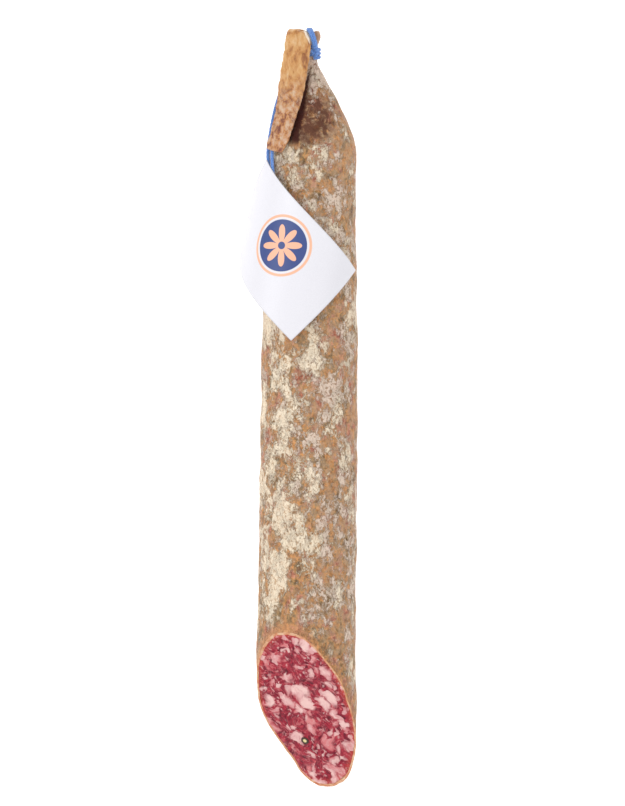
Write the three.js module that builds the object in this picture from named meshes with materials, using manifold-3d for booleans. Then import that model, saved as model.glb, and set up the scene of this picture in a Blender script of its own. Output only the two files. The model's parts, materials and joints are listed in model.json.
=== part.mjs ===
// A dry-cured pork sausage with its gut tail, twine and paper label, lying with the cut face up.
// Millimetres. X runs across it, Y from the cut end to the tied end, Z up from the table.
// The origin is on the table, in the flat strip that the body rests on.
import * as THREE from "three";
import { mergeVertices } from "three/addons/utils/BufferGeometryUtils.js";
import Module from "manifold-3d";

const wasm = await Module();
wasm.setup();

// Body stations from past the cut to the tied neck: Y, radius, X of the axis, Z of the axis.
// The axis lies a little lower than the radius, so the underside has a flat strip at Z = 0.
const BODY_STATIONS = [
  [-206, 26.1, -1.9, 25.7],
  [-140, 26.0, -1.5, 25.6],
  [-100, 25.5, -1.0, 25.1],
  [-37, 25.2, -0.3, 24.8],
  [40, 24.8, 0.4, 24.4],
  [95, 23.8, 0.6, 23.4],
  [127, 23.4, 1.0, 23.0],
  [137, 22.6, 1.3, 23.3],
  [145, 20.0, 1.5, 23.8],
  [155, 15.6, 1.6, 24.4],
  [165, 10.1, 1.8, 25.0],
  [174, 4.9, 2.0, 25.4],
  [181, 1.5, 2.3, 25.5],
  [189, 1.4, 2.4, 25.5],
];
const BODY_SIDES = 40;
const BODY_RINGS = 38;
const CONE_RINGS = 20;
const SHOULDER_Y = 127;
const LUMP_HEIGHT = 0.32;
const PLEAT_DEPTH = 0.5;
const PLEAT_COUNT = 7;
const PLEATS_FROM_Y = 138;
const PLEATS_TO_Y = 180;

// The side of the cut end that lay on the rack in the drying room is pressed in, down at the left
const PRESS_DEPTH = 3.2;
const PRESS_ANGLE = 243;
const PRESS_REACH_UP = 45;
const PRESS_REACH_DOWN = 32;
const PRESS_FROM_Y = -140;
const PRESS_FULL_Y = -168;

// The long diagonal cut: a point on the axis and how far Y changes for each mm of X and of Z
const CUT_POINT = new THREE.Vector3(-1.6, -156.5, 25.6);
const CUT_SLOPE_X = 0.69;
const CUT_SLOPE_Z = 1.42;
const CUTTER_SIZE = 140;

// The whole peppercorn that the knife split, flush with the cut face
const PEPPERCORN_RADIUS = 2.15;
const PEPPERCORN_X = -2.1;
const PEPPERCORN_Y = -173.2;
const PEPPERCORN_SINK = 0.4;
const PIECE_GAP = 0.3;

// Gut past the neck, flattened and folded forward: X, Y, Z, width, thickness, roll in degrees
const TAIL_STATIONS = [
  [2.3, 179.5, 25.4, 2.8, 2.8, 0],
  [2.4, 185.0, 25.5, 2.8, 2.8, 0],
  [2.2, 189.0, 25.6, 3.2, 2.7, 0],
  [0.4, 192.0, 26.2, 4.4, 2.4, 0],
  [-2.9, 194.2, 27.0, 6.0, 2.3, 0],
  [-6.2, 196.0, 29.3, 9.0, 2.3, -8],
  [-6.6, 194.9, 32.2, 13.0, 2.5, -4],
  [-6.3, 190.0, 33.9, 13.5, 2.7, 0],
  [-6.3, 184.0, 34.6, 13.7, 2.8, 2],
  [-7.9, 174.5, 35.9, 14.3, 3.0, 5],
  [-9.5, 165.0, 37.5, 14.0, 3.0, 10],
  [-11.6, 155.0, 39.1, 12.8, 3.0, 20],
  [-13.7, 146.0, 40.6, 12.5, 3.0, 27],
  [-16.0, 139.0, 41.5, 11.8, 2.8, 30],
  [-18.0, 133.2, 41.8, 9.6, 2.4, 30],
];
const TAIL_SIDES = 16;
const TAIL_RINGS = 44;

// The short ear of gut that stands up beside the fold
const EAR_STATIONS = [
  [2.4, 187.5, 25.5, 2.6, 2.4, 0],
  [3.2, 190.4, 25.8, 3.2, 2.4, 0],
  [3.8, 193.2, 26.1, 4.0, 2.2, 0],
  [3.9, 196.0, 26.3, 3.4, 1.7, 0],
];
const EAR_SIDES = 10;
const EAR_RINGS = 8;

// Twine: turns round the neck, a knot in front of them, and one turn over the fold of the gut
const TWINE_DIAMETER = 2.0;
const NECK = new THREE.Vector3(2.4, 185.0, 25.5);
const TIE_INNER_RADIUS = 1.95;
const TIE_TURNS = 3;
const TIE_SIDES = 20;
const TURN_ARC_STEPS = 4;
const KNOT_LOBES = [
  { at: [3.7, 184.4, 29.9], radii: [2.1, 2.3, 1.9], turn: 25 },
  { at: [2.2, 185.8, 30.0], radii: [1.9, 1.6, 1.7], turn: -35 },
];
const FOLD_TURN_ROUTE = [
  [2.6, 186.2, 30.0],
  [2.3, 189.4, 30.9],
  [1.4, 193.0, 31.3],
  [0.3, 195.9, 30.1],
  [-0.4, 197.0, 27.2],
  [-0.4, 195.4, 24.2],
  [0.2, 191.8, 22.6],
  [1.2, 188.4, 22.3],
  [2.1, 185.4, 22.9],
];
const FOLD_TURN_STEPS = 26;

// The two ends of the twine, from the tie behind the tail to the label's corner
const STRAND_ROUTES = {
  twine_end_left: [
    [-1.3, 186.6, 22.5],
    [-4.4, 183.6, 21.3],
    [-7.2, 179.6, 21.2],
    [-10.0, 175.0, 21.7],
    [-12.6, 169.8, 22.9],
    [-14.8, 164.4, 24.6],
    [-16.6, 158.8, 26.5],
    [-18.1, 153.0, 28.4],
    [-19.3, 147.2, 30.2],
    [-20.3, 141.4, 31.8],
    [-21.1, 135.8, 33.2],
    [-21.3, 131.0, 34.4],
    [-21.1, 127.4, 35.5],
    [-20.8, 124.0, 36.9],
    [-20.5, 120.8, 38.1],
  ],
  twine_end_right: [
    [-2.4, 183.1, 24.2],
    [-4.3, 180.0, 23.7],
    [-6.6, 175.8, 23.6],
    [-9.0, 171.0, 24.1],
    [-11.2, 165.8, 25.2],
    [-13.5, 160.4, 27.6],
    [-15.3, 155.0, 30.0],
    [-16.7, 149.8, 32.5],
    [-17.7, 144.6, 35.0],
    [-18.5, 139.6, 36.8],
    [-19.0, 134.8, 37.9],
    [-19.2, 130.8, 38.6],
    [-19.1, 127.2, 39.4],
    [-18.9, 124.0, 40.2],
    [-18.6, 120.8, 40.9],
  ],
};
const STRAND_SIDES = 8;
const STRAND_STEPS = 20;

// Label: a card held by one corner and bent over the body, round a roller that leans a little.
// Its long edge runs from the held corner to the far corner on the right.
const CARD_LONG = 82.5;
const CARD_SHORT = 52.0;
const CARD_THICKNESS = 0.5;
const CARD_CORNER = new THREE.Vector3(-22.0, 129.1, 36.8);
const CARD_EDGE_ANGLE = 54.8;
const CARD_BEND_RADIUS = 33.3;
const CARD_TILT_AT_CORNER = -62.7;
const CARD_TURN = -11.1;
const CARD_STEPS_LONG = 20;
const CARD_STEPS_SHORT = 12;

// The pad of paper under the held corner, where the two ends of the twine are glued in
const PAD_ALONG_LONG = 13.9;
const PAD_ALONG_SHORT = 5.3;
const PAD_RADII = [4.6, 4.6, 1.3];
const PAD_SINK = 1.1;

const material = (name, color, roughness) =>
  new THREE.MeshStandardMaterial({ name, color, roughness, metalness: 0 });

// Smooth value of one column of a station list at a place on its first column or its row number.
function smoothColumn(stations, column, place, placeOf) {
  const last = stations.length - 1;
  let row = 0;
  while (row < last - 1 && place > placeOf(row + 1)) row += 1;
  const value = (k) => stations[THREE.MathUtils.clamp(k, 0, last)][column];
  const at = (k) => placeOf(THREE.MathUtils.clamp(k, 0, last));
  const slope = (k) => (value(k + 1) - value(k - 1)) / (at(k + 1) - at(k - 1));
  const span = at(row + 1) - at(row);
  const f = THREE.MathUtils.clamp((place - at(row)) / span, 0, 1);
  const rise = f * f * (3 - 2 * f);
  const leave = f * (1 - f) * (1 - f) * span * slope(row);
  const arrive = f * f * (f - 1) * span * slope(row + 1);
  return value(row) + (value(row + 1) - value(row)) * rise + leave + arrive;
}

// A closed skin: a capped cylinder whose rings are moved onto the sections of the piece.
// place(t, angle, reach) gives a point for t along the piece, the angle round it and 0 to 1 outwards.
function skin(sides, rings, place) {
  const shape = new THREE.CylinderGeometry(1, 1, 1, sides, rings);
  const points = shape.attributes.position;
  for (let i = 0; i < points.count; i += 1) {
    const reach = Math.min(1, Math.hypot(points.getX(i), points.getZ(i)));
    const angle = Math.atan2(points.getZ(i), points.getX(i));
    const moved = place(points.getY(i) + 0.5, angle, reach);
    points.setXYZ(i, moved.x, moved.y, moved.z);
  }
  return shape;
}

// Geometry to exact solid and back
function solid(geometry) {
  const bare = geometry.clone();
  bare.deleteAttribute("normal");
  bare.deleteAttribute("uv");
  const merged = mergeVertices(bare, 1e-4);
  return new wasm.Manifold(
    new wasm.Mesh({
      numProp: 3,
      vertProperties: new Float32Array(merged.attributes.position.array),
      triVerts: new Uint32Array(merged.index.array),
    }),
  );
}

function geometryOf(shape) {
  const mesh = shape.getMesh();
  const geometry = new THREE.BufferGeometry();
  geometry.setAttribute("position", new THREE.BufferAttribute(mesh.vertProperties, 3));
  geometry.setIndex(new THREE.BufferAttribute(mesh.triVerts, 1));
  geometry.computeVertexNormals();
  return geometry;
}

// Low lumps of the filling under the gut, and the pleats that gather towards the tie
function relief(y, angle) {
  const upper = 0.5 + 0.5 * Math.sin(angle);
  const lumps =
    Math.sin(y / 11 + 2 * Math.sin(angle)) +
    0.8 * Math.sin(3 * angle + y / 23) +
    0.5 * Math.sin(5 * angle - y / 7);
  const inPleats = THREE.MathUtils.smoothstep(y, PLEATS_FROM_Y, PLEATS_FROM_Y + 14);
  const beforeTie = 1 - THREE.MathUtils.smoothstep(y, PLEATS_TO_Y - 16, PLEATS_TO_Y);
  const pleats = Math.cos(PLEAT_COUNT * angle + 0.6 * Math.sin(y / 9));
  const body = LUMP_HEIGHT * upper * lumps * (1 - inPleats);
  return body + PLEAT_DEPTH * pleats * inPleats * beforeTie;
}

// How far the pressed side lies inside the round section
function pressed(y, angle) {
  const degrees = (THREE.MathUtils.radToDeg(angle) + 360) % 360;
  const off = degrees - PRESS_ANGLE;
  const share = Math.min(Math.abs(off) / (off < 0 ? PRESS_REACH_UP : PRESS_REACH_DOWN), 1);
  const onset = 1 - THREE.MathUtils.smoothstep(y, PRESS_FULL_Y, PRESS_FROM_Y);
  return PRESS_DEPTH * onset * (1 - share * share) ** 2;
}

// The body and its cone, one ring at a time, clamped to the table underneath
function bodySkin() {
  const firstY = BODY_STATIONS[0][0];
  const lastY = BODY_STATIONS[BODY_STATIONS.length - 1][0];
  const rings = BODY_RINGS + CONE_RINGS;
  const yOf = (t) => {
    const ring = t * rings;
    if (ring < BODY_RINGS) return THREE.MathUtils.lerp(firstY, SHOULDER_Y, ring / BODY_RINGS);
    return THREE.MathUtils.lerp(SHOULDER_Y, lastY, (ring - BODY_RINGS) / CONE_RINGS);
  };
  const placeOf = (row) => BODY_STATIONS[row][0];
  return skin(BODY_SIDES, rings, (t, angle, reach) => {
    const y = yOf(t);
    const round = smoothColumn(BODY_STATIONS, 1, y, placeOf) + relief(y, angle);
    const radius = reach * (round - pressed(y, angle));
    const x = smoothColumn(BODY_STATIONS, 2, y, placeOf) + radius * Math.cos(angle);
    const z = smoothColumn(BODY_STATIONS, 3, y, placeOf) + radius * Math.sin(angle);
    return new THREE.Vector3(x, y, Math.max(z, 0));
  });
}

// A flat strip of gut along its stations, its width kept level except for the roll
function gutSkin(stations, sides, rings) {
  const last = stations.length - 1;
  const placeOf = (row) => row;
  const column = (k, place) => smoothColumn(stations, k, place, placeOf);
  const spine = (place) => new THREE.Vector3(column(0, place), column(1, place), column(2, place));
  return skin(sides, rings, (t, angle, reach) => {
    const place = t * last;
    const before = spine(Math.max(place - 0.05, 0));
    const after = spine(Math.min(place + 0.05, last));
    const forward = after.sub(before).normalize();
    const wide = new THREE.Vector3(1, 0, 0).addScaledVector(forward, -forward.x).normalize();
    const thick = new THREE.Vector3().crossVectors(wide, forward);
    const roll = THREE.MathUtils.degToRad(column(5, place));
    const rolledWide = wide.clone().multiplyScalar(Math.cos(roll)).addScaledVector(thick, -Math.sin(roll));
    const rolledThick = new THREE.Vector3().crossVectors(rolledWide, forward);
    const point = spine(place);
    point.addScaledVector(rolledWide, 0.5 * column(3, place) * reach * Math.cos(angle));
    point.addScaledVector(rolledThick, 0.5 * column(4, place) * reach * Math.sin(angle));
    return point;
  });
}

// The knife's half of space, with one face on the cut
function cutter() {
  const outward = new THREE.Vector3(-CUT_SLOPE_X, -1, CUT_SLOPE_Z).normalize();
  const box = new THREE.BoxGeometry(CUTTER_SIZE, CUTTER_SIZE, CUTTER_SIZE);
  box.applyQuaternion(new THREE.Quaternion().setFromUnitVectors(new THREE.Vector3(0, 0, 1), outward));
  const centre = CUT_POINT.clone().addScaledVector(outward, CUTTER_SIZE / 2);
  return box.translate(centre.x, centre.y, centre.z);
}

function peppercornBall(radius) {
  const outward = new THREE.Vector3(-CUT_SLOPE_X, -1, CUT_SLOPE_Z).normalize();
  const ahead = PEPPERCORN_Y - CUT_POINT.y + CUT_SLOPE_X * (PEPPERCORN_X - CUT_POINT.x);
  const centre = new THREE.Vector3(PEPPERCORN_X, PEPPERCORN_Y, CUT_POINT.z + ahead / CUT_SLOPE_Z);
  centre.addScaledVector(outward, -PEPPERCORN_SINK);
  return new THREE.SphereGeometry(radius, 16, 10).translate(centre.x, centre.y, centre.z);
}

const knife = solid(cutter());
const sausageSolid = solid(bodySkin())
  .add(solid(gutSkin(TAIL_STATIONS, TAIL_SIDES, TAIL_RINGS)))
  .add(solid(gutSkin(EAR_STATIONS, EAR_SIDES, EAR_RINGS)))
  .subtract(knife)
  .subtract(solid(peppercornBall(PEPPERCORN_RADIUS + PIECE_GAP)));
const peppercornSolid = solid(peppercornBall(PEPPERCORN_RADIUS)).subtract(knife);

// A round tube along a smooth route
function tube(route, sides, steps) {
  const circle = new THREE.Shape();
  const radius = TWINE_DIAMETER / 2;
  for (let i = 0; i < sides; i += 1) {
    const angle = (2 * Math.PI * i) / sides;
    const corner = [radius * Math.cos(angle), radius * Math.sin(angle)];
    if (i === 0) circle.moveTo(...corner);
    else circle.lineTo(...corner);
  }
  circle.closePath();
  const path = new THREE.CatmullRomCurve3(route.map((p) => new THREE.Vector3(...p)));
  return new THREE.ExtrudeGeometry(circle, { extrudePath: path, steps, curveSegments: 1 });
}

// Turns of twine laid side by side round the neck, as one ring with a scalloped outside
function neckTurns() {
  const twine = TWINE_DIAMETER / 2;
  const foot = -TIE_TURNS * twine;
  const profile = [new THREE.Vector2(TIE_INNER_RADIUS, foot)];
  for (let turn = 0; turn < TIE_TURNS; turn += 1) {
    const middle = foot + twine * (2 * turn + 1);
    for (let step = turn === 0 ? 0 : 1; step <= TURN_ARC_STEPS; step += 1) {
      const angle = Math.PI * (step / TURN_ARC_STEPS - 0.5);
      const r = TIE_INNER_RADIUS + twine * (1 + Math.cos(angle));
      profile.push(new THREE.Vector2(r, middle + twine * Math.sin(angle)));
    }
  }
  profile.push(new THREE.Vector2(TIE_INNER_RADIUS, -foot), profile[0].clone());
  return new THREE.LatheGeometry(profile, TIE_SIDES).translate(NECK.x, NECK.y, NECK.z);
}

function knotLobe({ at, radii, turn }) {
  const lobe = new THREE.SphereGeometry(1, 12, 8).scale(...radii);
  return lobe.rotateZ(THREE.MathUtils.degToRad(turn)).translate(...at);
}

let tieSolid = solid(neckTurns()).add(solid(tube(FOLD_TURN_ROUTE, STRAND_SIDES, FOLD_TURN_STEPS)));
for (const lobe of KNOT_LOBES) tieSolid = tieSolid.add(solid(knotLobe(lobe)));

// Where a point of the flat card lies once the card is bent: u along the long edge, v along the
// short one, lift out of the sheet. The sheet keeps its lengths, as paper does.
function bentCard(u, v, lift) {
  const edge = THREE.MathUtils.degToRad(CARD_EDGE_ANGLE);
  const across = u * Math.sin(edge) - v * Math.cos(edge);
  const down = u * Math.cos(edge) + v * Math.sin(edge);
  const start = THREE.MathUtils.degToRad(CARD_TILT_AT_CORNER);
  const tilt = start + across / CARD_BEND_RADIUS;
  const radius = CARD_BEND_RADIUS + lift;
  const x = radius * Math.sin(tilt) - CARD_BEND_RADIUS * Math.sin(start);
  const z = radius * Math.cos(tilt) - CARD_BEND_RADIUS * Math.cos(start);
  return new THREE.Vector3(x, -down, z);
}

// A flat piece laid on the card at (u, v), with its height kept as lift
function bendOntoCard(shape) {
  const points = shape.attributes.position;
  for (let i = 0; i < points.count; i += 1) {
    const moved = bentCard(points.getX(i), points.getY(i), points.getZ(i));
    points.setXYZ(i, moved.x, moved.y, moved.z);
  }
  // u, v and lift form a left-handed set, so the faces are turned round.
  const index = shape.index.array;
  for (let i = 0; i < index.length; i += 3) {
    [index[i + 1], index[i + 2]] = [index[i + 2], index[i + 1]];
  }
  return shape;
}

function labelSolid() {
  const sheet = new THREE.BoxGeometry(
    CARD_LONG,
    CARD_SHORT,
    CARD_THICKNESS,
    CARD_STEPS_LONG,
    CARD_STEPS_SHORT,
    1,
  ).translate(CARD_LONG / 2, CARD_SHORT / 2, 0);
  const pad = new THREE.SphereGeometry(1, 16, 10).scale(...PAD_RADII);
  pad.translate(PAD_ALONG_LONG, PAD_ALONG_SHORT, -PAD_SINK);
  return solid(bendOntoCard(sheet)).add(solid(bendOntoCard(pad)));
}

const part = new THREE.Group();

function addPiece(name, shape, finish) {
  const mesh = new THREE.Mesh(shape, finish);
  mesh.name = name;
  part.add(mesh);
  return mesh;
}

addPiece("sausage", geometryOf(sausageSolid), material("casing", 0xb08a66, 0.75));
addPiece("peppercorn", geometryOf(peppercornSolid), material("pepper", 0x4a3a26, 0.6));
addPiece("twine_tie", geometryOf(tieSolid), material("twine", 0x3f6fc4, 0.85));
for (const [name, route] of Object.entries(STRAND_ROUTES)) {
  addPiece(name, tube(route, STRAND_SIDES, STRAND_STEPS), material("twine", 0x3f6fc4, 0.85));
}
const label = addPiece("label", geometryOf(labelSolid()), material("paper", 0xf4f4f6, 0.5));
label.position.copy(CARD_CORNER);
label.rotation.z = THREE.MathUtils.degToRad(CARD_TURN);

export default part;
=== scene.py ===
# %% [markdown]
# # A dry-cured sausage, cut on the slant
# A long pork sausage in natural gut, tied at one end with blue twine and cut open at the other.
# It lies on a pale table with its cut face up, because its pointed end could not stand.
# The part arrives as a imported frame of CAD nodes. Every piece below is made in place on that frame,
# so each one ends with its object at the origin and its place in its own mesh.

import json
import math

import bmesh
import bpy
from mathutils import Matrix, Vector

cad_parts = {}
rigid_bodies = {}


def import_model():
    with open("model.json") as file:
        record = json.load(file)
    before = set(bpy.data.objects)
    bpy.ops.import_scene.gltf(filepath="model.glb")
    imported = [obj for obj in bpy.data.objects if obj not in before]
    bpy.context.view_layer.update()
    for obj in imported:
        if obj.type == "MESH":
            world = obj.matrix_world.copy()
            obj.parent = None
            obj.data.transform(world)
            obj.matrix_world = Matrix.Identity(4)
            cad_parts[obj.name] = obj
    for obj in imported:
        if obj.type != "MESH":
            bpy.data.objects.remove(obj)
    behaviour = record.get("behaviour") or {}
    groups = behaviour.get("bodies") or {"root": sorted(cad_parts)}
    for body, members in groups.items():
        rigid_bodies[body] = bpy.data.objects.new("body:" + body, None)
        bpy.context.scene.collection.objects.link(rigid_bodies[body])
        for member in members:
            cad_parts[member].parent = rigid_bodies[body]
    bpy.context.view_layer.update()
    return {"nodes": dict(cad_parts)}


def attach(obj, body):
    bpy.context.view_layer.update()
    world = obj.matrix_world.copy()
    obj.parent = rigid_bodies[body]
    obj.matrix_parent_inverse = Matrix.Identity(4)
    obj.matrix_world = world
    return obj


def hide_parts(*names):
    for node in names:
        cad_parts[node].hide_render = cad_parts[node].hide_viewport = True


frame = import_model()
MM = 0.001
print("CAD nodes:", sorted(frame["nodes"]))

# %% [markdown]
# ## The camera
# The photograph looks at the sausage square on, from far away, so the camera hangs high over the
# table and looks straight down with a long lens. A long lens keeps both ends at the same scale.
# The lens is worked out from how much table fits in the height of the picture.

# %% Hang the camera over the table
CAMERA_HEIGHT = 12.03
SHOWN_LENGTH = 0.4192
SENSOR_SIZE = 36.0
LENS_DISTANCE = 12.0
FARTHEST_SEEN = 50
MIDDLE_OF_VIEW = (0.00182, 0.0026)

bpy.ops.object.camera_add(location=(*MIDDLE_OF_VIEW, CAMERA_HEIGHT), rotation=(0, 0, 0))
camera = bpy.context.object
camera.data.sensor_width = SENSOR_SIZE
camera.data.lens = SENSOR_SIZE * LENS_DISTANCE / SHOWN_LENGTH
camera.data.clip_end = FARTHEST_SEEN
bpy.context.scene.camera = camera
bpy.context.scene.view_settings.view_transform = "Standard"
print("lens in mm:", round(camera.data.lens, 1))

# %% [markdown]
# ## Light and table
# Food like this is photographed in an even white room: a big soft light at the left, a weaker one at
# the right, one overhead, and white all round, so that nothing throws a hard shadow. The table is a
# wide white plane, which is no piece of the sausage.

# %% Light the table
# Place and size in metres, and power in watts
SOFT_BOXES = [
    ((-1.5, 0.5, 1.5), 1.4, 23),
    ((1.5, 0.2, 1.7), 1.4, 16),
    ((0.1, -0.3, 2.6), 1.6, 14),
]
ROOM_LIGHT = 0.62
TABLE_SIZE = 12.0

for place, size, power in SOFT_BOXES:
    facing = (-Vector(place)).to_track_quat("-Z", "Y").to_euler()
    bpy.ops.object.light_add(type="AREA", location=place, rotation=facing)
    light = bpy.context.object
    light.data.size = size
    light.data.energy = power
    light.visible_camera = False

room = bpy.data.worlds.new("white_room")
room.use_nodes = True
room.node_tree.nodes["Background"].inputs["Color"].default_value = (1, 1, 1, 1)
room.node_tree.nodes["Background"].inputs["Strength"].default_value = ROOM_LIGHT
bpy.context.scene.world = room

bpy.ops.mesh.primitive_plane_add(size=TABLE_SIZE, location=(0, 0, 0))
table = bpy.context.object
table.name = "table"
print("soft boxes:", len(SOFT_BOXES))

# %% [markdown]
# ## Small helpers for editing
# An operator works on whatever is selected. These helpers empty the selection first, and then pick
# the wanted points of a mesh in code, by where they are.

# %% Select points and work on them


def take_up(piece):
    """Makes one piece the only selected and active one."""
    if bpy.context.mode != "OBJECT":
        bpy.ops.object.mode_set(mode="OBJECT")
    bpy.ops.object.select_all(action="DESELECT")
    piece.select_set(True)
    bpy.context.view_layer.objects.active = piece


def open_mesh(piece):
    """Opens a piece's mesh for editing, with nothing selected."""
    take_up(piece)
    bpy.ops.object.mode_set(mode="EDIT")
    bpy.ops.mesh.select_all(action="DESELECT")


def pick_points(piece, wanted):
    """Selects the points of an open mesh for which wanted(point) is true, and says how many."""
    bpy.ops.mesh.select_mode(type="VERT")
    bpy.ops.mesh.select_all(action="DESELECT")
    mesh = bmesh.from_edit_mesh(piece.data)
    mesh.verts.index_update()
    for point in mesh.verts:
        point.select = bool(wanted(point))
    mesh.select_flush(True)
    bmesh.update_edit_mesh(piece.data)
    return sum(point.select for point in mesh.verts)


def picked_places(piece):
    """The places of the selected points of an open mesh."""
    mesh = bmesh.from_edit_mesh(piece.data)
    return [point.co.copy() for point in mesh.verts if point.select]


def pick_all():
    """Selects the whole of the open mesh."""
    bpy.ops.mesh.select_all(action="SELECT")


def face_outwards():
    """Points all faces of the open mesh outwards."""
    pick_all()
    bpy.ops.mesh.normals_make_consistent(inside=False)


def extrude(move):
    """Extrudes what is selected in the open mesh, and moves the new part."""
    bpy.ops.mesh.extrude_region_move(TRANSFORM_OT_translate={"value": move})


# %% [markdown]
# ## Small helpers for finishing a piece
# Modifiers round a piece and roughen it, and are applied at once, so that the mesh itself has the
# shape. A finished piece gets its name, and is tied to the frame.

# %% Round, roughen and settle a piece


def fix_place():
    """Applies the active piece's place, turn and scale to its mesh."""
    bpy.ops.object.transform_apply(location=True, rotation=True, scale=True)


def apply_modifiers(piece):
    """Applies every modifier of a piece, in order."""
    take_up(piece)
    for modifier in list(piece.modifiers):
        bpy.ops.object.modifier_apply(modifier=modifier.name)


def round_off(piece, levels):
    """Rounds a piece with a subdivision surface."""
    modifier = piece.modifiers.new("round", "SUBSURF")
    modifier.levels = levels
    modifier.render_levels = levels
    apply_modifiers(piece)


def roughen(piece, noises, group=""):
    """Pushes the surface in and out by cloudy noises, each a name, a size and a height in mm."""
    for name, size, height in noises:
        cloud = bpy.data.textures.new(name, "CLOUDS")
        cloud.noise_scale = size * MM
        cloud.noise_depth = 1
        modifier = piece.modifiers.new(name, "DISPLACE")
        modifier.texture = cloud
        modifier.texture_coords = "LOCAL"
        modifier.strength = height * MM
        modifier.mid_level = 0.5
        modifier.vertex_group = group
    apply_modifiers(piece)


def settle(piece, name, slot, *nodes):
    """Names a finished piece, fixes its place in its mesh and ties it to the frame."""
    take_up(piece)
    fix_place()
    bpy.ops.object.shade_smooth()
    piece.name = name
    piece.data.name = name
    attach(piece, "root")
    if nodes:
        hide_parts(*nodes)
    print(name, "has", len(piece.data.polygons), "faces")
    return piece


# %% [markdown]
# ## The twine
# Two free ends of butcher's twine run from the tie, under the gut tail, to the corner of the label.
# The routes repeat the route points of the CAD model, so each end lies where its solid lies, but they
# start about 2 mm earlier, inside the turns of the tie, so that no gap shows there.

# %% Routes of the two free ends
POINT_SPACING = 0.6 * MM
ROUTE_LEFT = [
    (0.1, 187.0, 23.7),
    (-1.3, 186.6, 22.5),
    (-4.4, 183.6, 21.3),
    (-7.2, 179.6, 21.2),
    (-10.0, 175.0, 21.7),
    (-12.6, 169.8, 22.9),
    (-14.8, 164.4, 24.6),
    (-16.6, 158.8, 26.5),
    (-18.1, 153.0, 28.4),
    (-19.3, 147.2, 30.2),
    (-20.3, 141.4, 31.8),
    (-21.1, 135.8, 33.2),
    (-21.3, 131.0, 34.4),
    (-21.1, 127.4, 35.5),
    (-20.8, 124.0, 36.9),
    (-20.5, 120.8, 38.1),
]
ROUTE_RIGHT = [
    (-0.5, 184.2, 24.7),
    (-2.4, 183.1, 24.2),
    (-4.3, 180.0, 23.7),
    (-6.6, 175.8, 23.6),
    (-9.0, 171.0, 24.1),
    (-11.2, 165.8, 25.2),
    (-13.5, 160.4, 27.6),
    (-15.3, 155.0, 30.0),
    (-16.7, 149.8, 32.5),
    (-17.7, 144.6, 35.0),
    (-18.5, 139.6, 36.8),
    (-19.0, 134.8, 37.9),
    (-19.2, 130.8, 38.6),
    (-19.1, 127.2, 39.4),
    (-18.9, 124.0, 40.2),
    (-18.6, 120.8, 40.9),
]


def smooth_route(corners, closed=False):
    """A smooth line of close points through a few corner points, in metres."""
    corners = [Vector(corner) * MM for corner in corners]
    if closed:
        near = [corners[-1], *corners, corners[0], corners[1]]
    else:
        near = [corners[0], *corners, corners[-1]]
    line = []
    for k in range(len(near) - 3):
        a, b, c, d = near[k : k + 4]
        steps = max(2, round((c - b).length / POINT_SPACING))
        for step in range(steps):
            t = step / steps
            bend = (2 * a - 5 * b + 4 * c - d) * t**2 + (3 * b - a - 3 * c + d) * t**3
            line.append(0.5 * (2 * b + (c - a) * t + bend))
    line.append(near[-2].copy())
    return line


def length_of(line):
    """How long a line of points is."""
    return sum((b - a).length for a, b in zip(line, line[1:]))


print("free ends in mm:", [round(length_of(smooth_route(r)) / MM, 1) for r in (ROUTE_LEFT, ROUTE_RIGHT)])

# %% [markdown]
# ## Twisted plies
# Butcher's twine is three blue plies twisted together. A curve could be given a plain round bevel,
# but then the plies would be missing. Here the bevel is a section of three lobes, and the curve's
# tilt winds them round.

# %% Twist twine along a route
TWINE_DIAMETER = 2.0 * MM
PLY_PITCH = 6.5 * MM
PLIES = 3
SECTION_POINTS = 18
LOBE_SHARE = 0.07


def ply_section(diameter):
    """The three-lobed section of twisted twine, as a flat closed curve."""
    section = bpy.data.curves.new("ply_section", "CURVE")
    section.dimensions = "2D"
    spline = section.splines.new("POLY")
    spline.points.add(SECTION_POINTS - 1)
    spline.use_cyclic_u = True
    for k, point in enumerate(spline.points):
        angle = 2 * math.pi * k / SECTION_POINTS
        radius = diameter / 2 * (1 - LOBE_SHARE + LOBE_SHARE * math.cos(PLIES * angle))
        point.co = (radius * math.cos(angle), radius * math.sin(angle), 0, 1)
    holder = bpy.data.objects.new("ply_section", section)
    bpy.context.scene.collection.objects.link(holder)
    return holder


def lay_twine(name, line, diameter=TWINE_DIAMETER):
    """Lays twisted twine along a line of points and returns its mesh."""
    section = ply_section(diameter)
    curve = bpy.data.curves.new(name, "CURVE")
    curve.dimensions = "3D"
    curve.bevel_mode = "OBJECT"
    curve.bevel_object = section
    curve.use_fill_caps = True
    spline = curve.splines.new("POLY")
    spline.points.add(len(line) - 1)
    run = 0.0
    for k, point in enumerate(spline.points):
        run += (line[k] - line[max(k - 1, 0)]).length
        point.co = (*line[k], 1)
        point.tilt = 2 * math.pi * run / PLY_PITCH
    twine = bpy.data.objects.new(name, curve)
    bpy.context.scene.collection.objects.link(twine)
    take_up(twine)
    bpy.ops.object.convert(target="MESH")
    bpy.data.objects.remove(section)
    return bpy.context.object


def free_end(name, node, corners):
    """One free end of the twine, laid along its route and settled on the frame."""
    line = smooth_route(corners)
    twine = settle(lay_twine(name, line), name, "twine", node)
    return twine


left_end = free_end("free_end_left", "twine_end_left", ROUTE_LEFT)
right_end = free_end("free_end_right", "twine_end_right", ROUTE_RIGHT)

# %% [markdown]
# ## The tie
# The twine goes three times round the neck of the gut, is knotted in front, and twice passes over
# the fold of the tail. On the real sausage this is one length of twine pulled tight. It is laid here
# as runs whose ends are hidden in each other: the turns, the knot, and two turns over the fold.

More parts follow.
